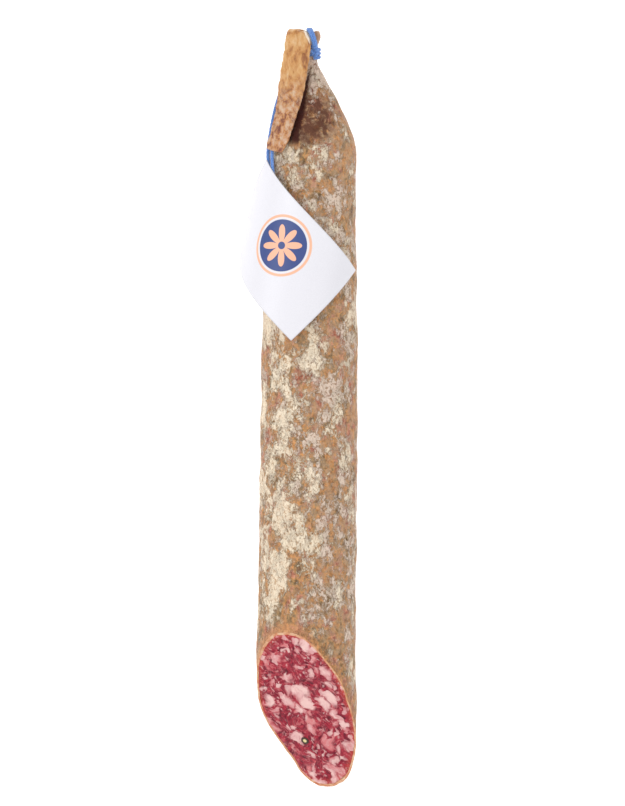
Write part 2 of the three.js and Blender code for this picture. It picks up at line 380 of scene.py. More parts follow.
# %% Tie the neck
NECK = (2.4, 185.0, 25.5)
TIE_INNER_RADIUS = 1.95
TIE_TURNS = 3
POINTS_PER_TURN = 12
KNOT_MIDDLE = (3.1, 184.9, 29.9)
KNOT_SCALE = 0.62
KNOT_OVERLAP = 1.3
KNOT_TWINE = 1.7 * MM
KNOT_POINTS = 18
FOLD_TURN = [
    (2.6, 186.2, 30.0),
    (2.3, 189.4, 30.9),
    (1.4, 193.0, 31.3),
    (0.3, 195.9, 30.1),
    (-0.4, 197.0, 27.2),
    (-0.4, 195.4, 24.2),
    (0.2, 191.8, 22.6),
    (1.2, 188.4, 22.3),
    (2.1, 185.4, 22.9),
]
SECOND_TURN = 1.2


def neck_turns():
    """Corner points of the turns round the neck, one strand beside the other."""
    pitch = TWINE_DIAMETER / MM
    radius = TIE_INNER_RADIUS + pitch / 2
    corners = []
    for k in range(TIE_TURNS * POINTS_PER_TURN + 1):
        turn = k / POINTS_PER_TURN
        angle = 2 * math.pi * turn
        forward = NECK[1] + pitch * (turn - TIE_TURNS / 2)
        corners.append((NECK[0] + radius * math.sin(angle), forward, NECK[2] + radius * math.cos(angle)))
    return corners


def tight_knot():
    """Corner points of an overhand knot, pulled tight."""
    corners = []
    for k in range(KNOT_POINTS):
        angle = 2 * math.pi * k / KNOT_POINTS
        across = math.sin(angle) + 2 * math.sin(2 * angle)
        along = math.cos(angle) - 2 * math.cos(2 * angle)
        over = -KNOT_OVERLAP * math.sin(3 * angle)
        corners.append([KNOT_MIDDLE[axis] + KNOT_SCALE * (across, along, over)[axis] for axis in range(3)])
    return corners


runs = [
    lay_twine("neck_turns", smooth_route(neck_turns())),
    lay_twine("knot", smooth_route(tight_knot(), closed=True), KNOT_TWINE),
    lay_twine("fold_turn", smooth_route(FOLD_TURN)),
    lay_twine("second_fold_turn", smooth_route([(x + SECOND_TURN, y, z) for x, y, z in FOLD_TURN])),
]
take_up(runs[0])
for run in runs:
    run.select_set(True)
bpy.ops.object.join()
tie = settle(bpy.context.object, "tie", "twine", "twine_tie")

# %% [markdown]
# ## The casing
# The casing is pork gut that has dried tight round the filling. It swells towards the cut and draws in
# to a pleated cone at the tie. Its sizes are written down at stations, and a smooth curve through
# them gives the ring at any place between.

# %% Sizes of the body
# Y, radius, X of the axis, Z of the axis, all in mm, as in the CAD model but fuller under the twine
BODY_STATIONS = [
    (-206, 26.1, -1.9, 25.7),
    (-140, 26.0, -1.5, 25.6),
    (-100, 25.5, -1.0, 25.1),
    (-37, 25.2, -0.3, 24.8),
    (40, 24.8, 0.4, 24.4),
    (95, 23.8, 0.6, 23.4),
    (127, 23.4, 1.0, 23.0),
    (137, 22.6, 1.3, 23.3),
    (145, 20.0, 1.5, 23.8),
    (155, 15.6, 1.6, 24.4),
    (165, 10.1, 1.8, 25.0),
    (174, 4.9, 2.0, 25.4),
    (181, 2.1, 1.9, 25.5),
    (189, 1.4, 2.4, 25.5),
]
BODY_STEP = 4.0
CONE_STEP = 2.5
CONE_FROM = 127


def smooth_value(places, values, place):
    """The value at any place between given ones, on a smooth curve through them."""
    last = len(places) - 1
    row = 0
    while row < last - 1 and place > places[row + 1]:
        row += 1

    def slope(k):
        after = min(k + 1, last)
        before = max(k - 1, 0)
        return (values[after] - values[before]) / (places[after] - places[before])

    span = places[row + 1] - places[row]
    f = min(max((place - places[row]) / span, 0), 1)
    step = f * f * (3 - 2 * f)
    leave = f * (1 - f) ** 2 * span * slope(row)
    arrive = f * f * (f - 1) * span * slope(row + 1)
    return values[row] + (values[row + 1] - values[row]) * step + leave + arrive


body_places, *body_columns = [list(column) for column in zip(*BODY_STATIONS)]


def body_ring(along):
    """Centre and radius of the body's ring at one place, in metres."""
    radius, across, up = (smooth_value(body_places, column, along) for column in body_columns)
    return Vector((across, along, up)) * MM, radius * MM


ring_places = [body_places[0]]
while ring_places[-1] < body_places[-1] - CONE_STEP:
    ring_places.append(ring_places[-1] + (BODY_STEP if ring_places[-1] < CONE_FROM else CONE_STEP))
print("rings along the body:", len(ring_places))

# %% [markdown]
# ## The body from ring to ring
# A stretched cylinder would have one radius and a straight axis. So one ring is drawn, and then
# extruded from place to place, each time moved on and scaled to the next radius.

# %% Extrude the body
BODY_SIDES = 56

centre, radius = body_ring(ring_places[0])
bpy.ops.object.select_all(action="DESELECT")
bpy.ops.mesh.primitive_circle_add(
    vertices=BODY_SIDES,
    radius=radius,
    fill_type="NGON",
    location=centre,
    rotation=(math.pi / 2, 0, 0),
)
casing = bpy.context.object
fix_place()
bpy.ops.object.mode_set(mode="EDIT")
pick_all()
for place in ring_places[1:]:
    next_centre, next_radius = body_ring(place)
    extrude(next_centre - centre)
    grow = next_radius / radius
    bpy.ops.transform.resize(value=(grow, 1, grow), center_override=next_centre)
    centre, radius = next_centre, next_radius
face_outwards()
print("points of the body:", len(picked_places(casing)))

# %% [markdown]
# ## The pressed side
# Down at the left of the cut end the sausage lay on a rack while it dried, so it is a little flatter
# there. The points could be dragged in with proportional editing. A vertex group does the same and
# can be repeated: it holds how much each point moves, and a Displace modifier moves them.

# %% Press the side in
PRESS_DEPTH = 3.2 * MM
PRESS_ANGLE = 243
PRESS_REACH_UP = 45
PRESS_REACH_DOWN = 32
PRESS_FROM = -140 * MM
PRESS_FULL = -168 * MM


def pressed_share(place):
    """How much of the full depth a place of the body is pressed in, from 0 to 1."""
    middle, _ = body_ring(place.y / MM)
    degrees = math.degrees(math.atan2(place.z - middle.z, place.x - middle.x)) % 360
    off = degrees - PRESS_ANGLE
    aside = min(abs(off) / (PRESS_REACH_UP if off < 0 else PRESS_REACH_DOWN), 1)
    along = min(max((PRESS_FROM - place.y) / (PRESS_FROM - PRESS_FULL), 0), 1)
    return along * along * (3 - 2 * along) * (1 - aside * aside) ** 2


take_up(casing)
pressed_side = casing.vertex_groups.new(name="pressed_side")
shares = [pressed_share(point.co) for point in casing.data.vertices]
for index, share in enumerate(shares):
    pressed_side.add([index], share, "REPLACE")
press = casing.modifiers.new("press", "DISPLACE")
press.strength = -PRESS_DEPTH
press.mid_level = 0
press.vertex_group = "pressed_side"
apply_modifiers(casing)
print("points pressed in:", sum(share > 0 for share in shares))

# %% [markdown]
# ## The pleats of the cone
# Where the twine draws the gut together, it gathers in pleats that run out onto the shoulder. They
# are creased in one by one: a line of points that runs towards the tie is picked by its angle, and
# pushed inwards in steps, a longer stretch a little and a shorter stretch again.

# %% Crease the cone
# Angle round the body in degrees, depth, where it starts and where it ends, in mm
PLEATS = [
    (12, 0.8, 143, 176),
    (38, 1.2, 137, 178),
    (63, 0.7, 148, 178),
    (84, 1.3, 140, 178),
    (109, 1.0, 146, 178),
    (132, 1.2, 136, 176),
    (158, 0.8, 144, 178),
    (185, 1.1, 140, 178),
    (214, 0.9, 145, 178),
    (247, 1.1, 141, 178),
    (281, 0.8, 146, 178),
    (308, 1.2, 139, 178),
    (338, 0.9, 145, 178),
]
PLEAT_PUSHES = 3
PLEAT_TAPER = 4.0
HALF_SIDE = math.pi / BODY_SIDES


def on_line(place, angle, start, end):
    """True for a place on the lengthwise line of points nearest an angle, between start and end."""
    if not start * MM < place.y < end * MM:
        return False
    middle, _ = body_ring(place.y / MM)
    turned = math.atan2(place.z - middle.z, place.x - middle.x) - math.radians(angle)
    return abs(math.remainder(turned, 2 * math.pi)) <= HALF_SIDE


open_mesh(casing)
creased = 0
for angle, depth, start, end in PLEATS:
    for push in range(PLEAT_PUSHES):
        first = start + push * PLEAT_TAPER
        last = end - push * PLEAT_TAPER / 2
        creased += pick_points(casing, lambda point: on_line(point.co, angle, first, last))
        bpy.ops.transform.shrink_fatten(value=-depth / PLEAT_PUSHES * MM)
print("points pushed into pleats:", creased)

# %% [markdown]
# ## Lumps under the gut
# The minced filling leaves the dried gut slightly lumpy. Three sizes of cloudy noise push the surface
# in and out by tenths of a millimetre. Noise by modifier is quicker than sculpting and comes out the
# same on every run. Underneath, the points that fall below the table are scaled flat onto it.

# %% Roughen the gut and lay it on the table
# Name of the noise, its size and its height, in mm
GUT_NOISES = [
    ("filling_lumps", 17, 1.3),
    ("gut_wrinkles", 5.5, 0.55),
    ("gut_grain", 1.9, 0.22),
]
ROUND_LEVELS = 2

round_off(casing, ROUND_LEVELS)
roughen(casing, GUT_NOISES)
open_mesh(casing)
flattened = pick_points(casing, lambda point: point.co.z < 0)
bpy.ops.transform.resize(value=(1, 1, 0), center_override=(0, 0, 0))
print("points laid flat on the table:", flattened)

# %% [markdown]
# ## The slanting cut
# A knife took the lower end off on a long diagonal. Bisect cuts the mesh with that same plane and
# drops what lies beyond it. The open edge is then extruded inwards, which gives the dried rim of the
# casing.

# %% Cut the casing and give it a rim
CUT_POINT = Vector((-1.6, -156.5, 25.6)) * MM
CUT_OUTWARD = Vector((-0.69, -1.0, 1.42)).normalized()
RIM_SCALE = 0.964
CUT_TOLERANCE = 0.0001 * MM
ON_PLANE = 0.001 * MM
CLOSE_POINTS = 0.12 * MM


def off_cut(place):
    """How far a place lies outside the cut plane."""
    return (place - CUT_POINT).dot(CUT_OUTWARD)


pick_all()
bpy.ops.mesh.bisect(
    plane_co=CUT_POINT,
    plane_no=CUT_OUTWARD,
    clear_outer=True,
    threshold=CUT_TOLERANCE,
)
pick_points(casing, lambda point: abs(off_cut(point.co)) < ON_PLANE)
bpy.ops.mesh.remove_doubles(threshold=CLOSE_POINTS)
cut_edge = picked_places(casing)
cut_middle = sum(cut_edge, Vector()) / len(cut_edge)
extrude((0, 0, 0))
bpy.ops.transform.resize(value=(RIM_SCALE,) * 3, center_override=cut_middle)
casing.vertex_groups.new(name="rim_inner")
bpy.ops.object.vertex_group_assign()
print("points on the cut edge:", len(cut_edge))

# %% [markdown]
# ## The rim and the start of the meat
# Inside the rim lies the minced pork. Its outline has to fit the rim exactly, so the inner edge of
# the rim is copied and separated as the start of a new mesh. The rim is then extruded once more along
# the sausage, so that it has a wall behind it.

# %% Copy the rim's inner edge and close the rim
RIM_DEPTH = 3.0 * MM

bpy.ops.mesh.duplicate()
bpy.ops.mesh.separate(type="SELECTED")
meat = next(piece for piece in bpy.context.selected_objects if piece is not casing)
open_mesh(casing)
bpy.ops.object.vertex_group_select()
extrude((0, RIM_DEPTH, 0))
casing = settle(casing, "casing", "casing", "sausage")
print("the meat starts with", len(meat.data.vertices), "points")

# %% [markdown]
# ## The cut meat
# One big face would stay dead flat, and a fan of triangles would pinch in the middle, so the loop is
# filled with an even grid of faces, fine enough for the relief of the fat pieces. A grid needs an even
# number of points round it, so one edge is halved if it has to be. The loop is then extruded
# backwards and closed, so the meat is a solid slice, and only its cut face is roughened.

# %% Fill the slice with an even grid
SLICE_DEPTH = 6.0 * MM
GRID_CUTS = 1
GRID_SIDES = 4
MINCE_NOISES = [("loose_mince", 7, 0.9), ("torn_grain", 2.4, 0.4)]

open_mesh(meat)
pick_all()
loop_size = len(picked_places(meat))
if loop_size % 2:
    mesh = bmesh.from_edit_mesh(meat.data)
    mesh.edges.ensure_lookup_table()
    bmesh.ops.subdivide_edges(mesh, edges=mesh.edges[:1], cuts=1)
    bmesh.update_edit_mesh(meat.data)
    pick_all()
bpy.ops.mesh.fill_grid(span=round(loop_size / GRID_SIDES))
bpy.ops.mesh.subdivide(number_cuts=GRID_CUTS)
meat.vertex_groups.new(name="loose_face")
bpy.ops.mesh.select_less()
meat.vertex_groups.active = meat.vertex_groups["loose_face"]
bpy.ops.object.vertex_group_assign()
bpy.ops.mesh.select_all(action="DESELECT")
bpy.ops.mesh.select_non_manifold()
extrude((0, SLICE_DEPTH, 0))
bpy.ops.mesh.edge_face_add()
face_outwards()
roughen(meat, MINCE_NOISES, "loose_face")
meat = settle(meat, "meat", "meat", "sausage")

# %% [markdown]
# ## The peppercorn
# The knife split one whole peppercorn, so the cut shows a pale core in a dark wrinkled hull. A sphere
# of small triangles is wrinkled by noise, and the same cut plane takes its top off. It stands a
# hair's breadth proud of the meat, as a hard seed does in a soft slice.

# %% Split the peppercorn
PEPPERCORN_RADIUS = 2.15 * MM
PEPPERCORN_FINENESS = 5
PEPPERCORN_ON_CUT = Vector((-2.1, -173.2, 13.6)) * MM
PEPPERCORN_SINK = 0.4 * MM
PEPPERCORN_PROUD = 0.25 * MM
SHARP_EDGE = math.radians(40)

peppercorn_middle = PEPPERCORN_ON_CUT - CUT_OUTWARD * (off_cut(PEPPERCORN_ON_CUT) + PEPPERCORN_SINK)
bpy.ops.mesh.primitive_ico_sphere_add(
    subdivisions=PEPPERCORN_FINENESS,
    radius=PEPPERCORN_RADIUS,
    location=peppercorn_middle,
)
peppercorn = bpy.context.object
fix_place()
roughen(peppercorn, [("hull_wrinkles", 0.7, 0.5)])
open_mesh(peppercorn)
pick_all()
bpy.ops.mesh.bisect(
    plane_co=CUT_POINT + CUT_OUTWARD * PEPPERCORN_PROUD,
    plane_no=CUT_OUTWARD,
    clear_outer=True,
    use_fill=True,
    threshold=CUT_TOLERANCE,
)
peppercorn = settle(peppercorn, "peppercorn_half", "pepper", "peppercorn")
bpy.ops.object.shade_smooth_by_angle(angle=SHARP_EDGE)

# %% [markdown]
# ## The gut tail
# Past the tie the empty gut spreads out, folds forward over itself and lies down along the front, dry
# and flat like a strap. A short ear of the same gut stands beside the fold. Both are written down as
# stations along a spine, and a section between two stations is worked out on a smooth curve.

# %% Stations of the tail and its ear
# X, Y, Z, width and thickness in mm, and roll in degrees, as in the CAD model
TAIL_STATIONS = [
    (2.3, 179.5, 25.4, 2.8, 2.8, 0),
    (2.4, 185.0, 25.5, 2.8, 2.8, 0),
    (2.2, 189.0, 25.6, 3.2, 2.7, 0),
    (0.4, 192.0, 26.2, 4.4, 2.4, 0),
    (-2.9, 194.2, 27.0, 6.0, 2.3, 0),
    (-6.4, 196.0, 29.3, 8.6, 2.3, -8),
    (-6.3, 194.9, 32.2, 10.6, 2.5, -4),
    (-5.8, 190.0, 33.9, 13.3, 2.7, 0),
    (-6.3, 184.0, 34.6, 13.9, 2.8, 2),
    (-7.9, 174.5, 35.9, 14.3, 3.0, 5),
    (-9.5, 165.0, 37.5, 14.0, 3.0, 10),
    (-11.6, 155.0, 39.1, 12.8, 3.0, 20),
    (-13.7, 146.0, 40.6, 12.5, 3.0, 27),
    (-16.0, 139.0, 41.5, 11.8, 2.8, 30),
    (-18.0, 133.2, 41.8, 9.6, 2.4, 30),
]
EAR_STATIONS = [
    (2.4, 187.5, 25.5, 2.6, 2.4, 0),
    (3.0, 190.4, 25.8, 4.2, 2.4, 0),
    (3.4, 193.2, 26.1, 5.4, 2.2, 0),
    (3.2, 196.2, 26.3, 4.8, 1.7, 0),
]
LOOK_ALONG = 0.05
TAIL_FOLD = 5.5


def strip_section(stations, place):
    """Where the strip's section lies at a place counted in stations, how it is turned, and its size."""
    rows = list(range(len(stations)))
    columns = list(zip(*stations))

    def spine(row):
        return Vector([smooth_value(rows, columns[axis], row) for axis in range(3)]) * MM

    behind, ahead = spine(max(place - LOOK_ALONG, 0)), spine(min(place + LOOK_ALONG, rows[-1]))
    forward = (ahead - behind).normalized()
    wide = Vector((1, 0, 0))
    wide = (wide - forward * forward.x).normalized()
    thick = wide.cross(forward)
    roll = math.radians(smooth_value(rows, columns[5], place))
    wide = wide * math.cos(roll) - thick * math.sin(roll)
    thick = wide.cross(forward)
    turned = Matrix((wide, thick, wide.cross(thick))).transposed()
    width, thickness = (smooth_value(rows, columns[column], place) * MM for column in (3, 4))
    return spine(place), turned, width, thickness


print("the tail folds over at", [round(x / MM, 1) for x in strip_section(TAIL_STATIONS, TAIL_FOLD)[0]])

# %% [markdown]
# ## Bridged rings
# A curve with a bevel would keep one section all the way, and this strap widens, rolls over and thins
# out. So rings are laid across it one after another, each turned square to the way the tail runs and
# squeezed flat, and each is bridged to the one before.

# %% Lay the rings and bridge them
TAIL_SIDES = 24
TAIL_RINGS = 62
EAR_SIDES = 14
EAR_RINGS = 10


def lay_strip(stations, sides, rings):
    """A flat strip of gut made of rings, each bridged to the one before."""
    bpy.ops.object.select_all(action="DESELECT")
    strip = None
    for ring in range(rings + 1):
        middle, turned, width, thickness = strip_section(stations, (len(stations) - 1) * ring / rings)
        if strip:
            bpy.ops.mesh.select_all(action="DESELECT")
        bpy.ops.mesh.primitive_circle_add(
            vertices=sides,
            radius=0.5 * width,
            fill_type="NGON" if ring in (0, rings) else "NOTHING",
            location=middle,
            rotation=turned.to_euler(),
        )
        if not strip:
            strip = bpy.context.object
            fix_place()
            bpy.ops.object.mode_set(mode="EDIT")
            pick_all()
        bpy.ops.transform.resize(
            value=(1, thickness / width, 1),
            orient_type="LOCAL",
            orient_matrix=turned,
            orient_matrix_type="LOCAL",
            center_override=middle,
        )
    for ring in range(rings):
        pick_points(strip, lambda point: ring * sides <= point.index < (ring + 2) * sides)
        bpy.ops.mesh.select_mode(type="EDGE")
        bpy.ops.mesh.bridge_edge_loops()
    face_outwards()
    return strip


tail = lay_strip(TAIL_STATIONS, TAIL_SIDES, TAIL_RINGS)
print("points of the tail:", len(picked_places(tail)))

# %% [markdown]
# ## Creases in the dry gut
# Dry gut is never smooth. Lines of points that run along the tail are pushed in for creases and out
# for the folded rims, before the strip is rounded. Noise of three sizes then curls and puckers both
# strips.

# %% Crease and pucker the strips
# Point round the ring, how far it is pushed out in mm, first ring, and the ring after the last
TAIL_CREASES = [
    (4, -0.55, 26, 44),
    (7, -0.45, 22, 34),
    (6, -0.6, 38, 56),
    (9, -0.5, 44, 60),
    (3, 0.5, 46, 61),
    (8, 0.4, 30, 43),
    (1, 0.5, 24, 50),
    (11, 0.45, 24, 62),
    (5, 0.35, 52, 60),
]
STRIP_NOISES = [("strip_curl", 6, 0.8), ("strip_folds", 3, 0.6), ("strip_grain", 1.4, 0.3)]

for side, height, first, last in TAIL_CREASES:
    line = {ring * TAIL_SIDES + side for ring in range(first, last)}
    pick_points(tail, lambda point: point.index in line)
    bpy.ops.transform.shrink_fatten(value=height * MM)
take_up(tail)
ear = lay_strip(EAR_STATIONS, EAR_SIDES, EAR_RINGS)
take_up(ear)
for strip in (tail, ear):
    round_off(strip, ROUND_LEVELS)
    roughen(strip, STRIP_NOISES)
tail = settle(tail, "gut_tail", "casing", "sausage")
ear = settle(ear, "gut_ear", "casing", "sausage")

# %% [markdown]
# ## The label
# The label is a small stiff paper card, held at one corner and bent over the body. A flat sheet could
# be moved point by point, but paper keeps its lengths when it bends, and so does the bend of the
# Simple Deform modifier. The sheet is drawn flat with its held corner at the origin, turned so that
# the bend's axis crosses it on the slant, stood on edge because that bend turns about Z, bent and
# thickened, and then laid down, tilted and moved into place.

# %% Draw and bend the card
CARD_LONG = 82.5 * MM
CARD_SHORT = 52.0 * MM
CARD_THICKNESS = 0.5 * MM
CARD_CORNER = Vector((-22.0, 129.1, 36.8)) * MM
CARD_EDGE_ANGLE = 54.8
CARD_BEND_RADIUS = 33.3 * MM
CARD_TILT_AT_CORNER = -62.7
CARD_TURN = -11.1
CARD_COLUMNS = 110
CARD_ROWS = 70

bpy.ops.object.select_all(action="DESELECT")
bpy.ops.mesh.primitive_grid_add(
    x_subdivisions=CARD_COLUMNS,
    y_subdivisions=CARD_ROWS,
    size=1,
    location=(CARD_LONG / 2, -CARD_SHORT / 2, 0),
)
label = bpy.context.object
bpy.ops.transform.resize(value=(CARD_LONG, CARD_SHORT, 1))
fix_place()
label.rotation_euler = (0, 0, math.radians(CARD_EDGE_ANGLE - 90))
fix_place()
label.rotation_euler = (math.radians(-90), 0, 0)
fix_place()
reaches = [point.co.x for point in label.data.vertices]
bend = label.modifiers.new("bend", "SIMPLE_DEFORM")
bend.deform_method = "BEND"
bend.deform_axis = "Z"
bend.angle = -(max(reaches) - min(reaches)) / CARD_BEND_RADIUS
paper = label.modifiers.new("paper", "SOLIDIFY")
paper.thickness = CARD_THICKNESS
paper.offset = 0
apply_modifiers(label)
label.rotation_euler = [math.radians(turn) for turn in (90, CARD_TILT_AT_CORNER, CARD_TURN)]
label.location = CARD_CORNER
fix_place()
places = [point.co for point in label.data.vertices]
print("label as bent:", [round(f(p[k] for p in places) / MM, 1) for f in (min, max) for k in range(3)])
label = settle(label, "label_card", "paper", "label")

# %% [markdown]
# ## The paper pad under the corner
# The two ends of the twine are glued in between the card and a small patch of paper, pressed flat
# round them. It hides under the held corner. A ball squeezed to a lens and puckered by noise is
# enough, laid on the card's underside at the tilt the card has there.

# %% Glue the pad in
PAD_ALONG_LONG = 13.9 * MM
PAD_ALONG_SHORT = 5.3 * MM
PAD_RADIUS = 4.6 * MM
PAD_SEGMENTS = 48
PAD_FLATNESS = 0.28
PAD_SINK = 1.1 * MM

edge, start, turn = (math.radians(a) for a in (CARD_EDGE_ANGLE, CARD_TILT_AT_CORNER, CARD_TURN))
across_card = PAD_ALONG_LONG * math.sin(edge) - PAD_ALONG_SHORT * math.cos(edge)
down_card = PAD_ALONG_LONG * math.cos(edge) + PAD_ALONG_SHORT * math.sin(edge)
tilt = start + across_card / CARD_BEND_RADIUS
pad_place = Vector((0, -down_card, 0))
pad_place.x = (CARD_BEND_RADIUS - PAD_SINK) * math.sin(tilt) - CARD_BEND_RADIUS * math.sin(start)
pad_place.z = (CARD_BEND_RADIUS - PAD_SINK) * math.cos(tilt) - CARD_BEND_RADIUS * math.cos(start)
pad_place.rotate(Matrix.Rotation(turn, 3, "Z"))
bpy.ops.object.select_all(action="DESELECT")
bpy.ops.mesh.primitive_uv_sphere_add(segments=PAD_SEGMENTS, ring_count=PAD_SEGMENTS // 2, radius=PAD_RADIUS)
pad = bpy.context.object
bpy.ops.transform.resize(value=(1, 1, PAD_FLATNESS))
fix_place()
roughen(pad, [("paper_puckers", 3, 0.5)])
pad.rotation_euler = (0, tilt, turn)
pad.location = CARD_CORNER + pad_place
print("pad at", [round(x / MM, 1) for x in pad.location])
pad = settle(pad, "label_pad", "paper", "label")

# %% [markdown]
# ## Helpers that place nodes
# Every finish is made of nodes, so it stays sharp at any distance and needs no picture. An input of a
# node is either linked to another node or set to a value of its own. Sums on masks and on places
# come up in every finish, so they get short names.

# %% Place nodes and do sums


def feed(tree, socket, value):
    """Links a socket to another node's output, or sets its own value."""
    if isinstance(value, bpy.types.NodeSocket):
        tree.links.new(value, socket)
    else:
        socket.default_value = value


def add_node(tree, kind, inputs=None, **settings):
    """Adds a node, sets it up, and feeds its inputs."""
    made = tree.nodes.new("ShaderNode" + kind)
    for name, value in settings.items():
        setattr(made, name, value)
    for name, value in (inputs or {}).items():
        feed(tree, made.inputs[name], value)
    return made


def work_out(tree, operation, first, second=0.0, third=0.0):
    """One sum on values."""
    made = add_node(tree, "Math", {0: first, 1: second, 2: third}, operation=operation)
    return made.outputs["Value"]


def times(tree, value, *factors):
    """A value multiplied by each factor in turn."""
    for factor in factors:
        value = work_out(tree, "MULTIPLY", value, factor)
    return value


def total(tree, base, *terms):
    """A base, plus each term's value times its share."""
    for value, share in terms:
        base = work_out(tree, "MULTIPLY_ADD", value, share, base)
    return base


def vector_sum(tree, operation, first, second=(0, 0, 0)):
    """One sum on places or directions, which gives a single value or a place."""
    made = add_node(tree, "VectorMath", {0: first, 1: second}, operation=operation)
    return made.outputs["Value" if operation in ("DOT_PRODUCT", "LENGTH") else "Vector"]


def axes(tree, where):
    """The X, Y and Z of each place, one by one."""
    return add_node(tree, "SeparateXYZ", {"Vector": where}).outputs


# %% [markdown]
# ## Helpers for patterns and masks
# The patterns read Object coordinates turned into millimetres, so a size in the code is a size on
# the sausage. A mask is a value from 0 to 1 that says where a coat of colour lies, and how thick.

# %% Patterns and masks
# A noise is written as its size in mm, detail, roughness and twist


def places_in_mm(tree, stretch=(1, 1, 1), shift=(0, 0, 0)):
    """Object coordinates in millimetres. A stretch below 1 draws a pattern out along that axis."""
    object_places = add_node(tree, "TexCoord").outputs["Object"]
    scale = [part / MM for part in stretch]
    mapping = add_node(tree, "Mapping", {"Vector": object_places, "Scale": scale, "Location": shift})
    return mapping.outputs["Vector"]


def cloud(tree, where, size, detail=3.0, roughness=0.55, twist=0.0):
    """Cloudy noise between 0 and 1 whose blots are about size mm wide."""
    inputs = {"Vector": where, "Scale": 1 / size, "Detail": detail, "Roughness": roughness}
    return add_node(tree, "TexNoise", {**inputs, "Distortion": twist}).outputs["Fac"]


def rise(tree, value, low, high):
    """0 below low, 1 above high, and a soft step between them."""
    inputs = {"Value": value, "From Min": low, "From Max": high}
    return add_node(tree, "MapRange", inputs, interpolation_type="SMOOTHSTEP").outputs["Result"]


def fall(tree, value, low, high):
    """1 below low, 0 above high, and a soft step between them."""
    return work_out(tree, "SUBTRACT", 1.0, rise(tree, value, low, high))


def patches(tree, where, noise, step):
    """A mask of cloudy patches, which begin and are full at the two noise values of step."""
    return rise(tree, cloud(tree, where, *noise), *step)


def along_line(tree, where, direction, origin):
    """How far each place lies along a direction from an origin, in mm."""
    dotted = vector_sum(tree, "DOT_PRODUCT", where, tuple(direction))
    return work_out(tree, "SUBTRACT", dotted, origin.dot(direction))


def distance_from(tree, where, middle, squeeze=(1, 1, 1)):
    """How far each place lies from a middle in mm, counting each axis by its squeeze."""
    apart = vector_sum(tree, "SUBTRACT", where, tuple(middle))
    return vector_sum(tree, "LENGTH", vector_sum(tree, "MULTIPLY", apart, squeeze))


# %% [markdown]
# ## Helpers for colour and finishes
# Colours are written as they look on a screen and made linear for the shader. A finish is a material
# that is built up like paint: a base colour first, and then coat over coat, each through its mask.

# %% Colours, coats and finishes


def paint(red, green, blue):
    """A screen colour from 0 to 255 as the shader's linear colour."""
    shares = [value / 255 for value in (red, green, blue)]
    return (*[v / 12.92 if v <= 0.04045 else ((v + 0.055) / 1.055) ** 2.4 for v in shares], 1.0)


def blend_paint(tree, share, under, over, how="MIX"):
    """The second colour laid over the first by a share from 0 to 1."""
    inputs = {0: share, 6: under, 7: over}
    return add_node(tree, "Mix", inputs, data_type="RGBA", blend_type=how).outputs[2]


def coats(tree, shade, *layers):
    """A colour under further coats, each with a mask, a strength and a colour."""
    for mask, strength, colour in layers:
        shade = blend_paint(tree, times(tree, mask, strength), shade, colour)
    return shade


def paint_scale(tree, value, *stops):
    """Turns a value into a colour on a scale of (place, colour) stops."""
    made = add_node(tree, "ValToRGB", {"Fac": value})
    scale = made.color_ramp
    while len(scale.elements) < len(stops):
        scale.elements.new(0.5)
    for element, (place, shade) in zip(scale.elements, stops):
        element.position = place
        element.color = shade
    return made.outputs["Color"]


def new_finish(name, **constants):
    """A material and its node tree. Its steady values are set on the shader's own sockets."""
    finish = bpy.data.materials.new(name)
    finish.use_nodes = True
    for socket, value in constants.items():
        finish.node_tree.nodes["Principled BSDF"].inputs[socket.replace("_", " ")].default_value = value
    return finish, finish.node_tree


def dress(finish, shade, height, depth, *pieces):
    """Gives a finish its colour and its bumps of a depth in mm, and puts it on pieces."""
    tree = finish.node_tree
    shader = tree.nodes["Principled BSDF"]
    bump = add_node(tree, "Bump", {"Strength": 1.0, "Distance": depth * MM, "Height": height})
    tree.links.new(bump.outputs["Normal"], shader.inputs["Normal"])
    tree.links.new(shade, shader.inputs["Base Color"])
    for piece in pieces:
        piece.data.materials.append(finish)
    print(finish.name, "has", len(tree.nodes), "nodes, on", [piece.name for piece in pieces])


# %% [markdown]
# ## The skin of the gut
# Dried gut is tan, and turns olive over fat, terracotta over lean meat and pink where it is thin. On
# top grows a dusty mould: cream where it is thick, in blots drawn out along the sausage, and grey and
# flecked where it is young. The casing and the tail share this, so it is one node group that gives
# the skin's colour and the two masks, and each finish mixes them in its own strength.

# %% Skin and mould as a node group
TERRACOTTA = paint(152, 86, 64)
SKIN_SCALE = [
    (0.37, TERRACOTTA),
    (0.42, paint(178, 124, 100)),
    (0.47, paint(152, 114, 76)),
    (0.52, paint(184, 127, 77)),
    (0.57, paint(140, 112, 74)),
    (0.66, paint(102, 74, 54)),
]
SKIN_STRETCH = (1, 0.75, 1)
SKIN_NOISE = (8.0, 6.0, 0.66, 0.5)
REDDENED = ((2.6, 4.0, 0.6, 0.4), (0.58, 0.70))
REDDENING = 0.5
BLOT_STRETCH = (1, 0.6, 1)
BLOTS_PER_CLUMP = 2.6
BLOT_DETAIL = (2.0, 0.5)
CLUMP_STRETCH = (1, 0.7, 1)
CLUMP_DETAIL = (6.0, 0.66, 0.5)
FLECK_NOISE = (1.5, 3.0, 0.6, 1.4)
FLECK_SHARE = 0.36
# Shift of the pattern and size of its clumps, in mm
CREAM_PATTERN = ((40, 0, 0), 4.6)
GREY_PATTERN = ((0, 70, 20), 3.4)
MOULD_STEP = (1.17, 1.34)
CREAM_HEIGHT = 0.5
GREY_HEIGHT = 0.4


